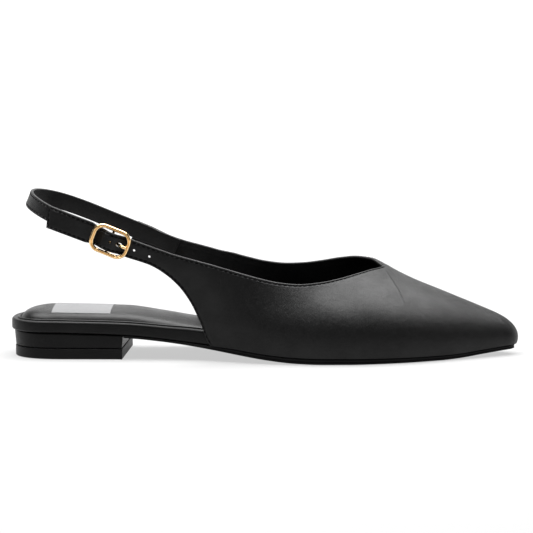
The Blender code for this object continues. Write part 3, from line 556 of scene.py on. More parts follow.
# Columns: foot, top along, top side, top height, lean
FOREPARTS = {
    OUTER: [
        (0.404, 0.435, 0.414, 1.052, 8), (0.440, 0.468, 0.417, 0.997, 11), (0.485, 0.507, 0.415, 0.937, 17),
        (0.530, 0.545, 0.408, 0.893, 25), (0.575, 0.582, 0.391, 0.875, 33), (0.620, 0.620, 0.348, 0.888, 43),
        (0.664, 0.658, 0.271, 0.919, 53), (0.710, 0.690, 0.177, 0.955, 61), (0.751, 0.718, 0.069, 0.982, 65),
    ],
    INNER: [
        (0.404, 0.435, 0.403, 1.088, 8), (0.440, 0.468, 0.404, 1.037, 11), (0.485, 0.507, 0.400, 0.990, 17),
        (0.530, 0.545, 0.388, 0.972, 25), (0.575, 0.582, 0.366, 0.984, 33), (0.620, 0.620, 0.328, 1.018, 42),
        (0.664, 0.658, 0.265, 1.063, 54), (0.710, 0.690, 0.196, 1.086, 70), (0.751, 0.718, 0.120, 1.074, 86),
    ],
}
# Columns: foot, top along, top side, top height, tilt
RIDGE = [
    (0.788, 0.742, 0.038, 0.996, 1.00), (0.822, 0.776, 0.040, 0.906, 0.57),
    (0.856, 0.813, 0.040, 0.818, 0.27), (0.890, 0.852, 0.038, 0.733, 0.10),
    (0.921, 0.890, 0.033, 0.646, 0.00), (0.949, 0.922, 0.028, 0.572, 0.00),
    (0.974, 0.949, 0.023, 0.508, 0.00), (0.991, 0.966, 0.019, 0.466, 0.00),
    (1.000, 0.975, 0.015, 0.440, 0.00),
]
FLARE = [(0.30, 0.0), (0.45, 4.0), (0.60, 8.0), (0.80, 14.0), (1.01, 24.0)]


def read_between(keys, spans):
    """Table rows read smoothly between, with a number of spans from each row to the next."""
    keys = np.asarray(keys, float)
    wanted = [k + j / count for k, count in enumerate(spans) for j in range(count)] + [len(keys) - 1]
    rows = np.arange(len(keys))
    return np.stack([smooth_curve(rows, keys[:, k], wanted) for k in range(keys.shape[1])], axis=1)


def strap_face(run):
    """The holed strap climbs over the bar inside the buckle and dips under both its ends."""
    slope = np.clip((abs(run) - 0.0010) / (WINDOW_HALF - 0.0011), 0, 1)
    return FREE_END_FACE + STRAP_RISE * 0.5 * (1 + math.cos(math.pi * slope))


def strap_width(run):
    """The free end is wider than the part that passes through the buckle."""
    return HOLED_STRAP_WIDTH + FREE_END_EXTRA * soft_step((-run - WINDOW_HALF) / STRAP_SHOULDER)


def strap_rib(run, out, width, droop=0.0, lead=0.0):
    low, outward = strap_place(run + lead, out, -width / 2 - droop)
    top, outward = strap_place(run, out, width / 2 - droop)
    return dict(low=low, top=top, out=outward, lean=0.0, flare=0.0, steady=0.0)


def free_end_rib(run):
    share = max(0.0, -run / FREE_END_LENGTH)
    return strap_rib(run, strap_face(run), strap_width(run), FREE_END_DROOP * share**2.5,
                     FREE_END_CUT * max(0.0, 2 * share - 1))


def tail_rib(run):
    """The inner quarter's tail is cut as high as the sling, and hangs lower."""
    width = sling_width(SLING_LENGTHS[0] + run) + TAIL_DROP
    return strap_rib(SLING_LENGTHS[0] + run, FREE_END_FACE, width, TAIL_DROP / 2)


def feather_line(side):
    """Foot of the upper: the footbed's outline moved out past a gap and the wall."""
    stations = [s for s in outline_stations(fore_steps=240) if s[0] >= SEAT_LINE]
    line = offset_outline(stations, GAP + WALL, closed_back=False)[0 if side == OUTER else 1]
    normals = line_normals(line, side)
    normals[-1] = (1.0, 0.0)
    return line, normals


def feather_point(line, normals, foot):
    x = BACK + foot * (line[-1][0] - BACK)
    y = np.interp(x, line[:, 0], line[:, 1])
    out = np.array([np.interp(x, line[:, 0], normals[:, k]) for k in (0, 1)] + [0.0])
    share = min((x - BACK) / FOOTBED_LENGTH, 1.0)
    return np.array([x, y, sole_top(share) + GAP]), out / np.linalg.norm(out)


def flare_at(share):
    return float(smooth_curve([row[0] for row in FLARE], [row[1] for row in FLARE], share))


def top_point(along, sideways, height):
    return np.array([along_to_x(along), sideways * BALL_WIDTH, height * THROAT_HEIGHT])


print("strap climbs", round(STRAP_RISE * 1000, 2), "mm over the bar")

# %% [markdown]
# Each stretch of the upper now gets its ribs: many where the shape turns quickly, as in
# the buckle's window and at the throat's point, and fewer where it runs evenly. All the
# stretches share their end rows, so that the surface flows from one into the next.

# %% Ribs, from the strap's end to the toe
STRAP_KEYS = (WINDOW_HALF - WINDOW_HALF / 7, WINDOW_HALF, WINDOW_HALF + 0.0025)
TAIL_KEYS = (0.0250, 0.0215, 0.0180)


def strap_ribs(side):
    if side == INNER:
        return [tail_rib(run) for run in np.linspace(TAIL_KEYS[0], TAIL_KEYS[2], 20)]
    behind = np.linspace(-FREE_END_LENGTH, -WINDOW_HALF, 60)[:-1]
    inside = np.linspace(-WINDOW_HALF, WINDOW_HALF, 72)
    return [free_end_rib(run) for run in [*behind, *inside, *np.linspace(WINDOW_HALF, STRAP_KEYS[2], 8)[1:]]]


def quarter_ribs(side):
    """Ribs from the strap's end down the back curve to the corner at the sole."""
    line, normals = feather_line(side)
    table, fore = QUARTERS[side], FOREPARTS[side]
    make, runs = (free_end_rib, STRAP_KEYS) if side == OUTER else (tail_rib, TAIL_KEYS)
    keys = [[*rib["low"], *rib["top"], 0.0] for rib in map(make, runs)]
    for low_along, low_side, low_height, along, sideways, height, lean in table:
        low = top_point(low_along, side * low_side, low_height)
        keys.append([*low, *top_point(along, side * sideways, height), lean])
    for foot, along, sideways, height, lean in fore[:3]:
        low, out = feather_point(line, normals, foot)
        keys.append([*low, *top_point(along, side * sideways, height), lean])
    spans = 14
    read = read_between(keys, [spans] * (len(keys) - 1))[2 * spans + 1:(2 + len(table)) * spans + spans]
    sideways = np.array([0.0, side, 0.0])
    flare = flare_at(fore[0][0])
    return [dict(low=r[:3], top=r[3:6], out=sideways, lean=r[6], flare=flare, steady=0.0) for r in read]


def fore_ribs(side):
    """Ribs beside the throat, from the quarter's corner to the throat's point."""
    line, normals = feather_line(side)
    keys = [[row[0], row[3], row[4], row[5], row[6]] for row in QUARTERS[side][-2:]]
    keys += [list(row) for row in FOREPARTS[side]]
    throat_lean = 90 - math.degrees(math.atan(0.14 - side * 0.95 * THROAT_TILT))
    keys.append([RIDGE[0][0], RIDGE[0][1], side * RIDGE[0][2], RIDGE[0][3], throat_lean])
    spans = [10] * (len(keys) - 3) + [14, 20]
    ribs = []
    for foot, along, sideways, height, lean in read_between(keys, spans)[20:-1]:
        low, out = feather_point(line, normals, foot)
        steady = float(smooth_curve([0.66, RIDGE[0][0]], [0.0, 1.0], foot)) ** 2
        ribs.append(dict(low=low, top=top_point(along, side * sideways, height), out=out, lean=lean,
                         flare=flare_at(foot), steady=steady))
    return ribs


def vamp_ribs(side):
    """Ribs from the sole to the ridge, from the throat's point round to the toe."""
    line, normals = feather_line(side)
    read = read_between(RIDGE, [18, 12, 10, 10, 10, 10, 10, 10])
    tops = np.array([top_point(*row[1:4]) for row in read])
    slopes = np.gradient(tops[:, 2], tops[:, 0])
    ribs = []
    for row, top, fall in zip(read, tops, slopes):
        low, out = feather_point(line, normals, row[0])
        ribs.append(dict(low=low, top=top, out=out, lean=None, fall=fall, tilt=row[4],
                         flare=flare_at(row[0])))
    return ribs


def rib_curve(rib, t):
    """Points of one rib, a cubic curve from its foot to its top."""
    low, top, out = rib["low"], rib["top"], rib["out"]
    chord = top - low
    inward = -chord @ out
    upright = chord + inward * out
    tall = np.linalg.norm(upright)
    rise = upright / tall
    flare = math.radians(rib["flare"])
    foot_pull = 0.55 * tall
    reach, steep = max(inward, 0.0), 1.0
    if rib["lean"] is None:
        reach, steep = max(inward, 0.3 * tall), rib["tilt"]
        way = np.array([-out[0], -out[1], -out[0] * rib["fall"] - out[1] * steep * THROAT_TILT])
        way /= np.linalg.norm(way)
        lean = math.acos(way[2])
    else:
        lean = math.radians(rib["lean"])
        upward = rise + rib["steady"] * (np.array([0.0, 0.0, 1.0]) - rise)
        way = upward / np.linalg.norm(upward) * math.cos(lean) - out * math.sin(lean)
        foot_pull *= 0.75 + 0.25 * math.sin(lean)
    straight = 0.75 * tall * max(math.cos(lean), 0.0)
    top_pull = 0.55 * (reach * (1 - steep * (1 - math.sin(lean))) + steep * straight)
    start = low + foot_pull * (rise * math.cos(flare) + out * math.sin(flare))
    end = top - top_pull * way
    t = np.asarray(t)[:, None]
    return (1 - t)**3 * low + 3 * t * (1 - t)**2 * start + 3 * t * t * (1 - t) * end + t**3 * top


# %% [markdown]
# Detail sits at the edges: the leather is folded over, and a row of stitches runs in a
# shallow groove beside the fold. So the rows of the grid crowd at both ends of every rib,
# at fixed distances from the edge, and are spread evenly between.

# %% Grid of the upper
EDGE_ROWS = np.array([0, 0.06, 0.15, 0.28, 0.43, 0.6, 0.8, 1.0, 1.15, 1.28, 1.42, 1.58, 1.74, 1.9,
                      2.05, 2.25, 2.6, 3.1, 3.8]) * MM
MIDDLE_ROWS = 16


def rib_rows(rib):
    fine = rib_curve(rib, np.linspace(0, 1, 400))
    length = np.concatenate([[0], np.cumsum(np.linalg.norm(np.diff(fine, axis=0), axis=1))])
    whole = length[-1]
    edge = EDGE_ROWS * min(1.0, 0.40 * whole / EDGE_ROWS[-1])
    middle = np.linspace(edge[-1], whole - edge[-1], MIDDLE_ROWS + 2)[1:-1]
    wanted = np.concatenate([edge, middle, (whole - edge)[::-1]])
    return np.stack([np.interp(wanted, length, fine[:, k]) for k in range(3)], axis=1)


def upper_grid(side):
    ribs = strap_ribs(side) + quarter_ribs(side) + fore_ribs(side) + vamp_ribs(side)
    return np.array([rib_rows(rib) for rib in ribs]), len(ribs) - len(vamp_ribs(side))


GRIDS = {side: upper_grid(side) for side in (OUTER, INNER)}
print("upper grid:", {side: grid[0].shape for side, grid in GRIDS.items()})

# %% [markdown]
# The grid is a sheet without thickness. It becomes leather by two offsets along its
# normals, one for the outside and one for the lining. Near an open edge both bend
# towards the middle of the wall along a quarter circle and meet, which is the folded
# edge of the real topline. The seam's groove follows the same distance to the edge.

# %% Shell of the upper
SEAM_INSET = 1.30 * MM
SEAM_WIDTH = 0.42 * MM
SEAM_DEPTH = 0.34 * MM


def grid_normals(grid, side):
    around = np.cross(np.gradient(grid, axis=0), np.gradient(grid, axis=1)) * -side
    return around / np.maximum(np.linalg.norm(around, axis=2), 1e-12)[..., None]


def distance_to_line(points, line):
    """Distance from every point to a line of joined segments."""
    flat = points.reshape(-1, 3)
    best = np.full(len(flat), 1.0)
    for start, end in zip(line, line[1:]):
        span = end - start
        size = span @ span
        if size < 1e-14:
            continue
        t = np.clip((flat - start) @ span / size, 0, 1)
        best = np.minimum(best, np.linalg.norm(flat - start - t[:, None] * span, axis=1))
    return best.reshape(points.shape[:2])


def foot_rib(side):
    """Number of the rib where the back curve of one side reaches the sole."""
    return len(strap_ribs(side)) + len(quarter_ribs(side)) - 1


def open_edges():
    """The folded edges: free end, back curve and topline of one side, then of the other."""
    lines = []
    for side in (OUTER, INNER):
        grid, throat = GRIDS[side]
        corner = foot_rib(side)
        lines.append(np.vstack([grid[corner::-1, 0], grid[0], grid[:throat + 1, -1]]))
    return lines


EDGE_LINES = open_edges()
EDGE_DISTANCE = {side: np.minimum(distance_to_line(GRIDS[side][0], EDGE_LINES[0]),
                                  distance_to_line(GRIDS[side][0], EDGE_LINES[1]))
                 for side in (OUTER, INNER)}
NORMALS = {side: grid_normals(GRIDS[side][0], side) for side in (OUTER, INNER)}


def share_normals():
    """The two sides meet on the ridge and at the toe, where they need one normal."""
    rows = len(NORMALS[OUTER][0])
    count = len(vamp_ribs(OUTER))
    for k in range(1, count + 1):
        for row in (range(rows) if k == 1 else (rows - 1,)):
            both = NORMALS[OUTER][-k, row] + NORMALS[INNER][-k, row]
            both /= np.linalg.norm(both)
            NORMALS[OUTER][-k, row] = NORMALS[INNER][-k, row] = both

    for side in (OUTER, INNER):
        NORMALS[side][-1, -1] = NORMALS[side][-1, -2]


share_normals()


def wall_offsets(distance):
    """How far the outside and the lining lie below the sheet, at a distance from a folded edge."""
    half = WALL / 2
    short = np.clip(half - distance, 0, half)
    round_off = np.sqrt(half**2 - short**2)
    return -(half - round_off), -(half + round_off)


def seam_groove(distance):
    return -SEAM_DEPTH * np.exp(-((distance - SEAM_INSET) / SEAM_WIDTH) ** 2)


# Soft troughs (minus) and ridges of the leather over the whole wall, a row for each.
# Both ends along the shoe and above the floor, the depth and the half width, in millimetres.
CREASE_COLUMNS = ("side", "start_along", "start_up", "end_along", "end_up", "depth", "half_width")
CREASES = [
    (OUTER, 42, 54.0, 57, 41.0, -0.22, 2.6),
    (OUTER, 52, 50.0, 70, 36.0, 0.16, 4.0),
    (OUTER, 66, 44.0, 84, 24.0, -0.14, 5.0),
    (OUTER, 108, 38.0, 132, 33.0, 0.14, 5.5),
    (OUTER, 128, 40.0, 158, 24.0, -0.12, 5.0),
    (OUTER, 150, 36.0, 172, 18.0, 0.12, 6.0),
    (INNER, 46, 54.0, 62, 40.0, -0.20, 3.0),
    (INNER, 104, 44.0, 130, 34.0, 0.14, 5.5),
    (INNER, 132, 40.0, 160, 22.0, -0.12, 5.0),
]
BAND_DEPTH = 0.15 * MM


def crease_lift(points, side):
    """How far the creases lift each point of one side, read in side view."""
    lift = np.zeros(points.shape[:2])
    flat = points[..., (0, 2)] / MM
    for row in CREASES:
        crease = dict(zip(CREASE_COLUMNS, row))
        if crease["side"] != side:
            continue
        start = np.array([crease["start_along"], crease["start_up"]])
        span = np.array([crease["end_along"], crease["end_up"]]) - start
        share = np.clip((flat - start) @ span / (span @ span), 0, 1)
        away = np.linalg.norm(flat - start - share[..., None] * span, axis=-1)
        lift += crease["depth"] * MM * np.exp(-(away / crease["half_width"]) ** 2)
    return lift


def lining_band(distance):
    """The lining's facing ends a few millimetres below the topline, in a low step."""
    share = np.clip((distance - 2.6 * MM) / (0.5 * MM), 0, 1)
    return -BAND_DEPTH * share * share * (3 - 2 * share)


def build_upper():
    mesh = bmesh.new()
    for side in (OUTER, INNER):
        grid, normals, distance = GRIDS[side][0], NORMALS[side], EDGE_DISTANCE[side]
        outside, lining = wall_offsets(distance)
        lift = crease_lift(grid, side) * np.clip(distance / (4 * MM), 0, 1)
        outside = outside + seam_groove(distance) + lift
        lining = lining + lining_band(distance) + lift
        layers = []
        for lift in (outside, lining):
            points = grid + normals * lift[..., None]
            layers.append([[mesh.verts.new(p) for p in rib] for rib in points])
        for number, layer in enumerate(layers):
            for here, there in zip(layer, layer[1:]):
                for k in range(len(here) - 1):
                    face = mesh.faces.new((here[k], there[k], there[k + 1], here[k + 1]))
                    face.material_index = number
        corner = foot_rib(side)
        skin, liner = layers
        for k in range(corner, len(skin) - 1):
            mesh.faces.new((skin[k][0], skin[k + 1][0], liner[k + 1][0], liner[k][0]))
    return finish_mesh("upper_leather", mesh, sharp=50)


UPPER = build_upper()
print("upper:", [round(v * 1000, 1) for v in UPPER.dimensions], "mm,", len(UPPER.data.polygons), "faces")


# %% [markdown]
# The strap's holes are punched after it is shaped, as a maker does with a hollow punch.
# One mesh of round rods is subtracted once. The prong's hole is a little oval.

# %% Holes in the strap
PINHOLE = 1.3 * MM
PRONG_HOLE = 3.4 * MM
HOLE_START = 0.0132
HOLE_PITCH = 0.0085
BAR_HOLE_PLACE = 0.0002
# Columns: place from the buckle's bar, width, height as a share of the width
HOLE_RUNS = [(PRONG_EXIT, PRONG_HOLE, 0.70), (HOLE_START, PINHOLE, 1.0),
             (HOLE_START + HOLE_PITCH, PINHOLE, 1.0), (BAR_HOLE_PLACE, PINHOLE, 1.0)]


def apply_boolean(target, cutter, operation="DIFFERENCE"):
    modifier = target.modifiers.new("cut", "BOOLEAN")
    modifier.operation = operation
    modifier.object = cutter
    modifier.solver = "EXACT"
    bpy.context.view_layer.update()
    shaped = bpy.data.meshes.new_from_object(target.evaluated_get(bpy.context.evaluated_depsgraph_get()))
    target.modifiers.clear()
    old = target.data
    target.data = shaped
    bpy.data.meshes.remove(old)
    bpy.data.objects.remove(cutter, do_unlink=True)


def punch_holes(target):
    mesh = bmesh.new()
    for run, wide, flat in HOLE_RUNS:
        made = bmesh.ops.create_cone(mesh, cap_ends=True, segments=24, radius1=wide / 2, radius2=wide / 2,
                                     depth=0.012)
        place = strap_matrix(run, FREE_END_FACE) @ Matrix.Diagonal((1.0, flat, 1.0, 1.0))
        bmesh.ops.transform(mesh, matrix=place, verts=made["verts"])
    apply_boolean(target, finish_mesh("punch", mesh))


punch_holes(UPPER)
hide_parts("upper")
print("upper after punching:", len(UPPER.data.polygons), "faces")

# %% [markdown]
# The sling is a flat strap with turned edges. It is swept: one section, a rounded
# rectangle with a seam's groove beside each edge, is set at every place along the line.
# At the buckle its two faces part into a loop round the bar, with a slot for the prong.

# %% Sling
def sling_faces():
    """Places along the sling with its inner and outer face, swelling into the loop at the bar."""
    half = SLING_THICKNESS / 2
    root = -0.0070
    places = [(run, -half, half) for run in np.linspace(SLING_LENGTHS[0], root, 240)]
    tangents = []
    for face, turn in ((half, 1), (-half, -1)):
        reach = math.hypot(root, BAR_OUT - face)
        angle = math.atan2(BAR_OUT - face, -root) + turn * math.asin(LOOP_RADIUS / reach)
        tangents.append((math.tan(angle), root + math.sqrt(reach**2 - LOOP_RADIUS**2) * math.cos(angle)))
    nose = LOOP_RADIUS * 0.999
    bend = nose - (nose - root) * (1 - np.sin(np.linspace(0, math.pi / 2, 50)[1:]))
    for run in bend:
        faces = []
        for (slope, touch), face, turn in zip(tangents, (half, -half), (1, -1)):
            rounded = BAR_OUT + turn * math.sqrt(max(LOOP_RADIUS**2 - run**2, 0.0)) if run >= touch else 0.0
            faces.append(face + slope * (run - root) if run < touch else rounded)
        places.append((run, faces[1], faces[0]))
    return places


def strap_section(inner, outer, width, seam=1.0):
    """Points round the section: out from the strap's middle, and up its width."""
    half = width / 2
    radius = min(0.5 * MM, 0.45 * (outer - inner))
    grooves = [(outer - seam * 0.8 * SEAM_DEPTH * math.exp(-((depth - 1.3) / 0.22) ** 2), half - depth * MM)
               for depth in (1.0, 1.15, 1.3, 1.45, 1.6)]
    section = [(out, -up) for out, up in grooves] + [(outer, -1.0 * MM), (outer, 1.0 * MM)] + grooves[::-1]
    corners = [(outer - radius, half - radius), (inner + radius, half - radius),
               (inner + radius, -half + radius), (outer - radius, -half + radius)]
    for quarter, (out, up) in enumerate(corners):
        for k in range(5):
            angle = math.pi / 2 * (quarter + k / 4)
            section.append((out + radius * math.cos(angle), up + radius * math.sin(angle)))
    return section


def skin_rings(mesh, rings, joined=False):
    """Faces through rings of points. The ends are filled, or the last ring is joined to the first."""
    made = [[mesh.verts.new(p) for p in ring] for ring in rings]
    for here, there in zip(made, made[1:] + made[:1] if joined else made[1:]):
        for k in range(len(here)):
            mesh.faces.new((here[k - 1], here[k], there[k], there[k - 1]))
    if not joined:
        mesh.faces.new(made[0])
        mesh.faces.new(reversed(made[-1]))


def sweep(name, rings):
    mesh = bmesh.new()
    skin_rings(mesh, rings)
    return finish_mesh(name, mesh)


def build_sling():
    rings = []
    for run, inner, outer in sling_faces():
        seam = float(np.clip((-run - 0.0075) / 0.002, 0, 1))
        section = strap_section(inner, outer, sling_width(run), seam)
        rings.append([strap_place(run, out, up)[0] for out, up in section])
    sling = sweep("sling_leather", rings)
    bar = bmesh.new()
    bmesh.ops.create_cone(bar, cap_ends=True, segments=32, radius1=LOOP_RADIUS - LOOP_WALL,
                          radius2=LOOP_RADIUS - LOOP_WALL, depth=3 * SLING_WIDTH)
    bar.transform(strap_matrix(0, BAR_OUT) @ Matrix.Rotation(math.pi / 2, 4, "X"))
    apply_boolean(sling, finish_mesh("bar_room", bar))
    slot = bmesh.new()
    bmesh.ops.create_cube(slot, size=1.0)
    size = (2 * LOOP_RADIUS + 0.0022, 2 * (PRONG_RADIUS + 2 * GAP), 4 * LOOP_RADIUS, 1.0)
    slot.transform(strap_matrix(0, BAR_OUT) @ Matrix.Diagonal(size) @ Matrix.Translation((0.10, 0, 0)))
    apply_boolean(sling, finish_mesh("prong_room", slot))
    return sling


SLING = build_sling()
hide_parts("sling_strap")
print("sling:", [round(v * 1000, 1) for v in SLING.dimensions], "mm,", len(SLING.data.polygons), "faces")

# %% [markdown]
# The buckle is a cast frame, a rounded rectangle whose face carries two ridges with a
# groove between them, which is what makes its bright double line. The section is swept
# round the rectangle. A plain bar crosses behind the strap, and the prong turns on it.

# %% Buckle
def buckle_section():
    """Half across the stock and how high, from the outer side over both ridges and back under."""
    half = BUCKLE_STOCK / 2
    face = []
    for u in np.linspace(-1, 1, 29):
        shoulder = max(0.0, 1 - abs(u) ** 2.6) ** 0.5
        groove = 0.42 * math.exp(-(((u + 0.08) / 0.20) ** 2))
        face.append((u * half * 1.06, half * (shoulder - groove)))
    back = [(u * half * 1.06, -half * 0.9 * max(0.0, 1 - abs(u) ** 3) ** 0.5)
            for u in np.linspace(1, -1, 15)[1:-1]]
    return face + back


def rounded_rectangle(half_long, half_tall, corner, steps=16):
    """Places round a rounded rectangle, with the direction that points outward at each."""
    places = []
    for quarter in range(4):
        right = 1 if quarter in (0, 3) else -1
        up = 1 if quarter in (0, 1) else -1
        for k in range(steps + 1):
            angle = math.pi / 2 * (quarter + k / steps)
            way = np.array([math.cos(angle), math.sin(angle)])
            middle = np.array([right * (half_long - corner), up * (half_tall - corner)])
            places.append((middle + corner * way, way))
    return places


def build_buckle():
    half_long = (BUCKLE_LENGTH - BUCKLE_STOCK) / 2
    half_tall = (BUCKLE_HEIGHT - BUCKLE_STOCK) / 2
    places = rounded_rectangle(half_long, half_tall, BUCKLE_CORNER - BUCKLE_STOCK / 2)
    mesh = bmesh.new()
    rings = []
    for place, way in places:
        widen = 1.0 + 0.18 * max(0.0, -way[0]) ** 2
        ring = []
        for across, high in buckle_section():
            spot = place + way * (across * widen - (widen - 1.0) * BUCKLE_STOCK / 2)
            ring.append((spot[0], spot[1], high))
        rings.append(ring)
    skin_rings(mesh, rings, joined=True)
    mesh.transform(strap_matrix(0, FRAME_OUT))
    frame_piece = finish_mesh("buckle_cast_frame", mesh, sharp=60)
    bar = bmesh.new()
    bmesh.ops.create_cone(bar, cap_ends=True, segments=32, radius1=BAR_RADIUS, radius2=BAR_RADIUS,
                          depth=2 * half_tall)
    bar.transform(strap_matrix(0, BAR_OUT) @ Matrix.Rotation(math.pi / 2, 4, "X"))
    apply_boolean(frame_piece, finish_mesh("bar", bar), "UNION")
    return frame_piece


def rod_rings(points, radii, sides=24):
    """Round sections along points in the buckle's own x and z, with a radius for each."""
    points = np.asarray(points)
    run = np.gradient(points, axis=0)
    run /= np.linalg.norm(run, axis=1)[:, None]
    rings = []
    for (x, z), (dx, dz), radius in zip(points, run, radii):
        ring = []
        for k in range(sides):
            angle = 2 * math.pi * k / sides
            a, b = radius * math.cos(angle), radius * math.sin(angle)
            ring.append((x - dz * a, b, z + dx * a))
        rings.append(ring)
    return rings


def build_prong():
    rest = FRAME_OUT + BUCKLE_STOCK / 2 + GAP + PRONG_RADIUS
    keys = [(0.0011, BAR_OUT - 0.0007), (0.0028, BAR_OUT - 0.0008), (0.0041, BAR_OUT + 0.0002),
            (PRONG_EXIT, BAR_OUT + 0.0014), (0.0062, rest - 0.0008), (0.0075, rest - 0.0001), (0.0094, rest)]
    rows = np.arange(len(keys))
    t = np.linspace(0, len(keys) - 1, 60)
    line = np.stack([smooth_curve(rows, [key[k] for key in keys], t) for k in (0, 1)], axis=1)
    near_end = np.clip((line[:, 0] - line[-1, 0] + PRONG_RADIUS) / PRONG_RADIUS, 0, 0.97)
    tip = np.sqrt(1 - near_end**2)
    prong = sweep("prong_rod", rod_rings(line, PRONG_RADIUS * tip))
    prong.data.transform(strap_matrix(0, 0))
    turn = np.linspace(0, 2 * math.pi, 49)[:-1]
    mesh = bmesh.new()
    rings = []
    for angle in turn:
        way = np.array([math.cos(angle), math.sin(angle)])
        ring = []
        for k in range(16):
            side = 2 * math.pi * k / 16
            reach = RING_RADIUS + RING_STOCK * math.cos(side)
            ring.append((way[0] * reach, RING_STOCK * 1.6 * math.sin(side), way[1] * reach))
        rings.append(ring)
    skin_rings(mesh, rings, joined=True)
    mesh.transform(strap_matrix(0, BAR_OUT))
    apply_boolean(prong, finish_mesh("prong_eye", mesh), "UNION")
    return prong


BUCKLE = build_buckle()
PRONG = build_prong()
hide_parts("buckle_frame")
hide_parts("buckle_prong")
print("buckle:", len(BUCKLE.data.polygons), "faces, prong:", len(PRONG.data.polygons), "faces")

# %% [markdown]
# Two kinds of thread show on the real shoe. Short stitches lie in the groove beside each
# folded edge of the upper and the sling, and slanted ones hold the sock's bead. Every
# stitch is a small rod with rounded ends, half sunk in the leather. So one function makes
# a rod between two points, another spaces rods along a line, and the lines are read from
# the same grids as the grooves, which keeps thread and groove together.

# %% Stitches
STITCH_PITCH = 2.6 * MM
STITCH_LENGTH = 1.7 * MM
THREAD_RADIUS = 0.27 * MM
SEAM_ROW = 9
SOCK_PITCH = 2.9 * MM
SOCK_STITCH = 1.9 * MM
SOCK_SLANT = math.radians(34)
SOCK_SEWN = 0.62
ROD_SHAPE = ((0.0, 0.4), (0.08, 0.85), (0.25, 1.0), (0.75, 1.0), (0.92, 0.85), (1.0, 0.4))


def add_rod(mesh, start, way, length, radius, sides=6):
    """A rod with rounded ends from a start point along a direction."""
    side = np.cross(way, (0.31, 0.52, 0.80))
    side /= np.linalg.norm(side)
    other = np.cross(way, side)
    rings = []
    for along, wide in ROD_SHAPE:
        middle = start + way * length * along
        ring = []
        for k in range(sides):
            angle = 2 * math.pi * k / sides
            ring.append(middle + radius * wide * (math.cos(angle) * side + math.sin(angle) * other))
        rings.append(ring)
    skin_rings(mesh, rings)


def stitch_row(mesh, line, normals, pitch, length, radius, slant=0.0):
    """Rods spaced evenly along a line, each turned by the slant about the leather's normal."""
    line, normals = np.asarray(line), np.asarray(normals)
    run = np.concatenate([[0], np.cumsum(np.linalg.norm(np.diff(line, axis=0), axis=1))])
    count = int(run[-1] / pitch)
    for place in (np.arange(count) + 0.5) * run[-1] / count:
        before, spot, after = [np.array([np.interp(place + step, run, line[:, k]) for k in range(3)])
                               for step in (-length / 2, 0.0, length / 2)]
        rise = np.array([np.interp(place, run, normals[:, k]) for k in range(3)])
        way = (after - before) / np.linalg.norm(after - before)
        turned = math.cos(slant) * way + math.sin(slant) * np.cross(rise, way)
        middle = spot if slant else (before + after) / 2
        add_rod(mesh, middle - turned * length / 2, turned, length, radius)
    return count


def upper_seam(side):
    """Line of stitches beside the folded edges of one side, with the leather's normals."""
    grid, throat = GRIDS[side]
    corner = foot_rib(side)
    middle = grid.shape[1] // 2
    from_end = np.linalg.norm(grid[:throat, middle] - grid[0, middle], axis=1)
    first = int(np.searchsorted(from_end, SEAM_INSET))
    spots = [(k, SEAM_ROW) for k in range(corner, first, -1)]
    spots += [(first, row) for row in range(SEAM_ROW, grid.shape[1] - SEAM_ROW)]
    spots += [(k, -1 - SEAM_ROW) for k in range(first + 1, throat + 1)]
    normals = np.array([NORMALS[side][spot] for spot in spots])
    sunk = SEAM_DEPTH - 0.6 * THREAD_RADIUS
    return np.array([grid[spot] for spot in spots]) - normals * sunk, normals


def sling_seam(up):
    """Line of stitches along the sling's outer face, at a height above its middle."""
    runs = np.linspace(SLING_LENGTHS[0] + 0.024, -0.0110, 260)
    sunk = 0.8 * SEAM_DEPTH - 0.6 * THREAD_RADIUS
    places = [strap_place(run, SLING_THICKNESS / 2 - sunk, up) for run in runs]
    return [place[0] for place in places], [place[1] for place in places]


def sew_leather():
    mesh = bmesh.new()
    count = 0
    half = SLING_WIDTH / 2 - SEAM_INSET
    seams = [upper_seam(OUTER), upper_seam(INNER), sling_seam(half), sling_seam(-half)]
    for line, normals in seams:
        count += stitch_row(mesh, line, normals, STITCH_PITCH, STITCH_LENGTH, THREAD_RADIUS)
    print("seam stitches:", count)
    return finish_mesh("seam_stitches", mesh)


def sew_sock():
    """Slanted stitches in the groove inside the sock's bead, as far as the foot can see in."""
    stations, squeeze = sock_stations()
    shares = bed_shares(stations)
    height = bed_high(shares) + 0.05 * MM + 0.5 * THREAD_RADIUS
    seen = np.array([s[0] for s in stations]) < SOCK_SEWN
    mesh = bmesh.new()
    count = 0
    for line, slant in zip(offset_outline(stations, -SOCK_GROOVE * MM * squeeze), (SOCK_SLANT, -SOCK_SLANT)):
        points = np.column_stack([line, height])[seen]
        upright = np.tile((0.0, 0.0, 1.0), (len(points), 1))
        count += stitch_row(mesh, points, upright, SOCK_PITCH, SOCK_STITCH, THREAD_RADIUS, slant)
    print("sock stitches:", count)
    return finish_mesh("sock_stitches", mesh)


SEAM_STITCHES = sew_leather()
SOCK_STITCHES = sew_sock()

# %% [markdown]
# A woven white patch is glued on the sock. It has to follow the padded crown, so its
# corners are set in plan and each point of it is dropped on the sock from above. The
# patch keeps a thin edge of its own, which catches a line of light.

# %% Label
LABEL_ALONG = (-8.4 * MM, 22.6 * MM)
LABEL_ACROSS = (-16.6 * MM, 14.5 * MM)
LABEL_THICK = 0.16 * MM


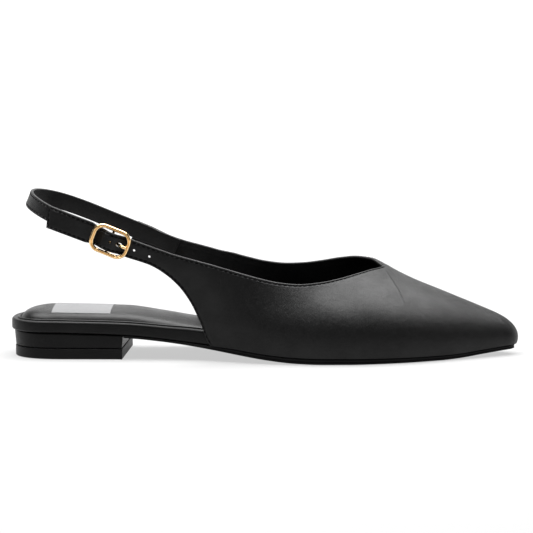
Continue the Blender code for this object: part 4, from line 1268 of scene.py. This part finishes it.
def build_label(steps=28):
    bpy.context.view_layer.update()
    mesh = bmesh.new()
    layers = []
    for lift in (LABEL_THICK, -LABEL_THICK):
        layer = []
        for x in np.linspace(*LABEL_ALONG, steps):
            row = []
            for y in np.linspace(*LABEL_ACROSS, steps):
                spot = SOCK.ray_cast(Vector((x, y, 0.06)), Vector((0, 0, -1)))[1]
                row.append(mesh.verts.new((x, y, spot.z + lift)))
            layer.append(row)
        layers.append(layer)
    top, under = layers
    last = steps - 1
    for i in range(last):
        for j in range(last):
            mesh.faces.new((top[i][j], top[i + 1][j], top[i + 1][j + 1], top[i][j + 1]))
            mesh.faces.new((under[i][j], under[i][j + 1], under[i + 1][j + 1], under[i + 1][j]))
        mesh.faces.new((under[i][0], under[i + 1][0], top[i + 1][0], top[i][0]))
        mesh.faces.new((top[i][last], top[i + 1][last], under[i + 1][last], under[i][last]))
        mesh.faces.new((under[0][i + 1], under[0][i], top[0][i], top[0][i + 1]))
        mesh.faces.new((under[last][i], under[last][i + 1], top[last][i + 1], top[last][i]))
    return finish_mesh("label_patch", mesh)


LABEL = build_label()
print("label:", [round(v * 1000, 1) for v in LABEL.dimensions], "mm")

# %% [markdown]
# Shader maths reads best as plain expressions. A wrapped socket knows how to add, multiply
# and subtract, and each sign adds one Math node. Every other node comes from one method
# that takes its type, its settings and the values or links of its sockets.

# %% Bench for materials
class Wire:
    """One output socket, with arithmetic on its value."""

    def __init__(self, bench, socket):
        self.bench, self.socket = bench, socket

    def math(self, operation, left, right):
        return self.bench.node("ShaderNodeMath", {"operation": operation}, {0: left, 1: right}, "Value")

    def __add__(self, other):
        return self.math("ADD", self, other)

    def __radd__(self, other):
        return self.math("ADD", other, self)

    def __sub__(self, other):
        return self.math("SUBTRACT", self, other)

    def __rsub__(self, other):
        return self.math("SUBTRACT", other, self)

    def __mul__(self, other):
        return self.math("MULTIPLY", self, other)

    def __rmul__(self, other):
        return self.math("MULTIPLY", other, self)


class Bench:
    """A material being mixed: its node tree, its shader and the place on the object."""

    def __init__(self, name, **finish):
        self.material = bpy.data.materials.new(name)
        self.material.use_nodes = True
        self.tree = self.material.node_tree
        self.shader = self.tree.nodes["Principled BSDF"]
        self.place = self.node("ShaderNodeTexCoord", {}, {}, "Object")
        for socket, value in finish.items():
            self.shader.inputs[socket.replace("_", " ")].default_value = value

    def node(self, kind, settings, inputs, output):
        made = self.tree.nodes.new(kind)
        for key, value in settings.items():
            setattr(made, key, value)
        for key, value in inputs.items():
            self.feed(made.inputs[key], value)
        return Wire(self, made.outputs[output])

    def feed(self, socket, value):
        if isinstance(value, Wire):
            self.tree.links.new(value.socket, socket)
        else:
            socket.default_value = value

    def set(self, **links):
        for socket, value in links.items():
            self.feed(self.shader.inputs[socket.replace("_", " ")], value)

    def noise(self, scale, detail=3.0, roughness=0.55, place=None):
        return self.node("ShaderNodeTexNoise", {}, {"Vector": place or self.place, "Scale": scale,
                         "Detail": detail, "Roughness": roughness}, "Fac")

    def cells(self, scale):
        return self.node("ShaderNodeTexVoronoi", {"feature": "DISTANCE_TO_EDGE"},
                         {"Vector": self.place, "Scale": scale}, "Distance")

    def between(self, value, low, high):
        """The value spread so that low becomes 0 and high becomes 1, with soft ends."""
        return self.node("ShaderNodeMapRange", {"interpolation_type": "SMOOTHSTEP"},
                         {"Value": value, "From Min": low, "From Max": high}, "Result")

    def blend(self, share, first, second):
        return self.node("ShaderNodeMix", {"data_type": "RGBA"}, {0: share, 6: first, 7: second}, 2)

    def bump(self, height, distance, strength=1.0, normal=None):
        inputs = {"Height": height, "Distance": distance, "Strength": strength}
        if normal is not None:
            inputs["Normal"] = normal
        return self.node("ShaderNodeBump", {}, inputs, "Normal")


# %% [markdown]
# The leather is a smooth calf with a pressed pebble about half a millimetre across. From a
# step away the pebble is not seen by itself: it spreads the sheen and breaks it into soft
# clouds, because the pores are deeper in some places. So the finish has three scales of
# bump, and the same clouds vary the roughness and, very slightly, the black.

# %% Leathers
def leather(name, dark, light, rough, pebble=0.00055, depth=0.000035, clouds=0.10, **finish):
    bench = Bench(name, **finish)
    patches = bench.noise(95.0, 4.0)
    streaks = bench.noise(420.0, 3.0)
    pores = bench.between(bench.cells(1.0 / pebble), 0.0, 0.16)
    fine = bench.noise(5200.0, 2.0)
    cloud = bench.between(patches, 0.32, 0.70)
    bench.set(Base_Color=bench.blend(cloud, (*dark, 1.0), (*light, 1.0)))
    bench.set(Roughness=rough + clouds * (0.5 - cloud) + 0.10 * (streaks - 0.5) + 0.05 * (1.0 - pores))
    wrinkle = bench.bump(streaks, 0.00016, 0.55)
    grain = bench.bump(pores * (0.6 + 0.8 * streaks) + 0.25 * fine, depth, 0.75, wrinkle)
    bench.set(Normal=grain)
    return bench.material


UPPER_LEATHER = leather("black_calf", (0.0015, 0.0015, 0.0016), (0.0040, 0.0040, 0.0041), 0.40,
                        Specular_IOR_Level=0.26)
LINING = leather("black_lining", (0.0014, 0.0014, 0.0015), (0.0022, 0.0022, 0.0023), 0.70,
                 pebble=0.0004, depth=0.00002, Specular_IOR_Level=0.05)
RAND_LEATHER = leather("rand_leather", (0.0025, 0.0025, 0.0026), (0.0040, 0.0040, 0.0041), 0.40,
                       pebble=0.0005, depth=0.000018, clouds=0.05, Specular_IOR_Level=0.18)
SOCK_LEATHER = leather("sock_leather", (0.0015, 0.0015, 0.0016), (0.0030, 0.0030, 0.0031), 0.34,
                       pebble=0.0005, depth=0.000018, clouds=0.06, Specular_IOR_Level=0.26)
HEEL_LEATHER = leather("heel_leather", (0.0015, 0.0015, 0.0016), (0.0030, 0.0030, 0.0031), 0.38,
                       pebble=0.0005, depth=0.000016, clouds=0.04, Specular_IOR_Level=0.15)


def moulded(name, colour, rough, speck):
    """Moulded rubber or plastic: an even black with a faint tooth."""
    bench = Bench(name, Specular_IOR_Level=0.12)
    tooth = bench.noise(2600.0, 2.0)
    wear = bench.between(bench.noise(60.0, 3.0), 0.45, 0.75)
    bench.set(Base_Color=bench.blend(wear, (*colour, 1.0), (*[c * 1.5 for c in colour], 1.0)))
    bench.set(Roughness=rough + 0.08 * (tooth - 0.5) + 0.05 * wear)
    bench.set(Normal=bench.bump(tooth, speck, 0.6))
    return bench.material


SOLE_RUBBER = moulded("sole_rubber", (0.0060, 0.0060, 0.0062), 0.60, 0.00003)
TOP_PIECE = moulded("heel_plastic", (0.0070, 0.0070, 0.0072), 0.46, 0.00002)

# %% [markdown]
# The buckle is zinc with a pale gold plating. A plated casting is nearly a mirror, with
# hair-fine polishing marks. Metal has no colour of its own apart from its reflection, so
# the tone is the base colour at full metallic.

# %% Gold, thread and label
def plated_gold():
    bench = Bench("pale_gold", Metallic=1.0)
    marks = bench.noise(900.0, 3.0)
    worn = bench.between(marks, 0.3, 0.7)
    bench.set(Base_Color=bench.blend(worn, (0.92, 0.62, 0.30, 1.0), (0.98, 0.70, 0.38, 1.0)))
    bench.set(Roughness=0.10 + 0.08 * marks)
    bench.set(Normal=bench.bump(marks, 0.00002, 0.25))
    return bench.material


GOLD = plated_gold()
THREAD = moulded("black_thread", (0.0010, 0.0010, 0.0011), 0.80, 0.00004)
SOCK_THREAD = moulded("grey_thread", (0.0300, 0.0300, 0.0305), 0.50, 0.00004)


def woven_label():
    bench = Bench("white_label", Specular_IOR_Level=0.2)
    weave = bench.node("ShaderNodeTexWave", {"bands_direction": "X"}, {"Vector": bench.place, "Scale": 900.0,
                       "Distortion": 0.4}, "Fac")
    soil = bench.noise(240.0, 2.0)
    bench.set(Base_Color=bench.blend(soil, (0.19, 0.192, 0.195, 1.0), (0.215, 0.215, 0.218, 1.0)))
    bench.set(Roughness=0.62 + 0.1 * weave)
    bench.set(Normal=bench.bump(weave, 0.00003, 0.4))
    return bench.material


LABEL_WHITE = woven_label()


def paint(piece, *materials):
    piece.data.materials.clear()
    for material in materials:
        piece.data.materials.append(material)


for piece, *materials in ((OUTSOLE, SOLE_RUBBER), (HEEL_BLOCK, HEEL_LEATHER), (HEEL_TOP_PIECE, TOP_PIECE),
                          (RAND, RAND_LEATHER), (SOCK, SOCK_LEATHER), (UPPER, UPPER_LEATHER, LINING),
                          (SLING, UPPER_LEATHER), (BUCKLE, GOLD), (PRONG, GOLD), (SEAM_STITCHES, THREAD),
                          (SOCK_STITCHES, SOCK_THREAD), (LABEL, LABEL_WHITE)):
    paint(piece, *materials)
print("materials:", sorted(material.name for material in bpy.data.materials if material.users))

# %% [markdown]
# The picture is a studio shot on white. The floor sweeps up behind the shoe and carries a painted glow,
# which is painted light: it reads as white and its shadows stay pale. By the camera the floor is painted
# dark, a painted shade which keeps the black leather black, and the surround is dim. One wide soft light
# above leaves a sheen on the upper's shoulder and a soft shadow under the waist and the toe.

# %% Floor and light
# Painted light: the floor glows by itself, so the shadows cast on it stay pale.
FLOOR_PAINTED_GLOW = 0.56


def build_floor():
    """A round floor that sweeps up into a wall, with painted glow behind the shoe and painted shade by the
    camera.
    """
    mesh = bmesh.new()
    rings = []
    sweep_up = ((0.02, 0.0), (0.6, 0.0), (2.0, 0.0), (4.0, 0.0), (4.6, 0.1), (5.0, 0.5), (5.1, 1.2),
                (5.1, 2.2))
    for reach, height in sweep_up:
        rings.append([mesh.verts.new((reach * math.cos(a), reach * math.sin(a), height))
                      for a in np.linspace(0, 2 * math.pi, 97)[:-1]])
    for here, there in zip(rings, rings[1:]):
        for k in range(len(here)):
            mesh.faces.new((here[k - 1], here[k], there[k], there[k - 1]))
    mesh.faces.new(rings[0])
    floor = finish_mesh("floor", mesh)
    floor.location.z = -0.0001
    bench = Bench("floor_painted_glow_and_shade", Specular_IOR_Level=0.0, Emission_Strength=1.0)
    depth = bench.node("ShaderNodeSeparateXYZ", {}, {0: bench.place}, "Y")
    # Painted shade: near the camera the floor's colour and glow are dark, so the black leather reflects
    # darkness there.
    painted_dark_near = bench.between(depth, -0.62, -0.46)
    far = bench.between(depth, 0.25, 1.2)
    # Painted light: near the shoe the floor glows, which lifts its cast shadows; far behind it glows full
    # white as an even backdrop.
    painted_glow = bench.blend(painted_dark_near, (0.05, 0.05, 0.05, 1.0), (FLOOR_PAINTED_GLOW, FLOOR_PAINTED_GLOW, FLOOR_PAINTED_GLOW, 1.0))
    bench.set(Base_Color=bench.blend(painted_dark_near, (0.05, 0.05, 0.05, 1.0), (0.18, 0.18, 0.18, 1.0)))
    bench.set(Emission_Color=bench.blend(far, painted_glow, (1.0, 1.0, 1.0, 1.0)))
    bench.set(Roughness=0.9 + 0.05 * bench.noise(30.0, 2.0))
    paint(floor, bench.material)


def soft_light(name, place, target, wide, deep, power):
    data = bpy.data.lights.new(name, "AREA")
    data.shape = "RECTANGLE"
    data.size, data.size_y = wide, deep
    data.energy = power
    light = bpy.data.objects.new(name, data)
    way = Vector(target) - Vector(place)
    light.matrix_world = Matrix.Translation(Vector(place)) @ way.to_track_quat("-Z", "Y").to_matrix().to_4x4()
    bpy.context.scene.collection.objects.link(light)


def surround(strength):
    world = bpy.data.worlds.new("white_surround")
    world.use_nodes = True
    backdrop = world.node_tree.nodes["Background"]
    backdrop.inputs["Color"].default_value = (1.0, 1.0, 1.0, 1.0)
    backdrop.inputs["Strength"].default_value = strength
    bpy.context.scene.world = world


build_floor()
surround(0.10)
soft_light("top_light", (0.06, 0.12, 1.1), (0.10, 0, 0.03), 1.8, 1.1, 54.0)
soft_light("back_light", (0.05, 0.9, 0.7), (0.10, 0, 0.05), 0.8, 0.4, 3.0)
bpy.context.scene.view_settings.view_transform = "Standard"

# %% [markdown]
# The shoe is one body that stands still, so every piece rides on the root. Both boxes are
# kept, and a dressed piece stands out only a little past the solid it covers.

# %% Ride and finish
for piece in (OUTSOLE, HEEL_BLOCK, HEEL_TOP_PIECE, RAND, SOCK, UPPER, SLING, BUCKLE, PRONG,
              SEAM_STITCHES, SOCK_STITCHES, LABEL):
    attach(piece, "root")
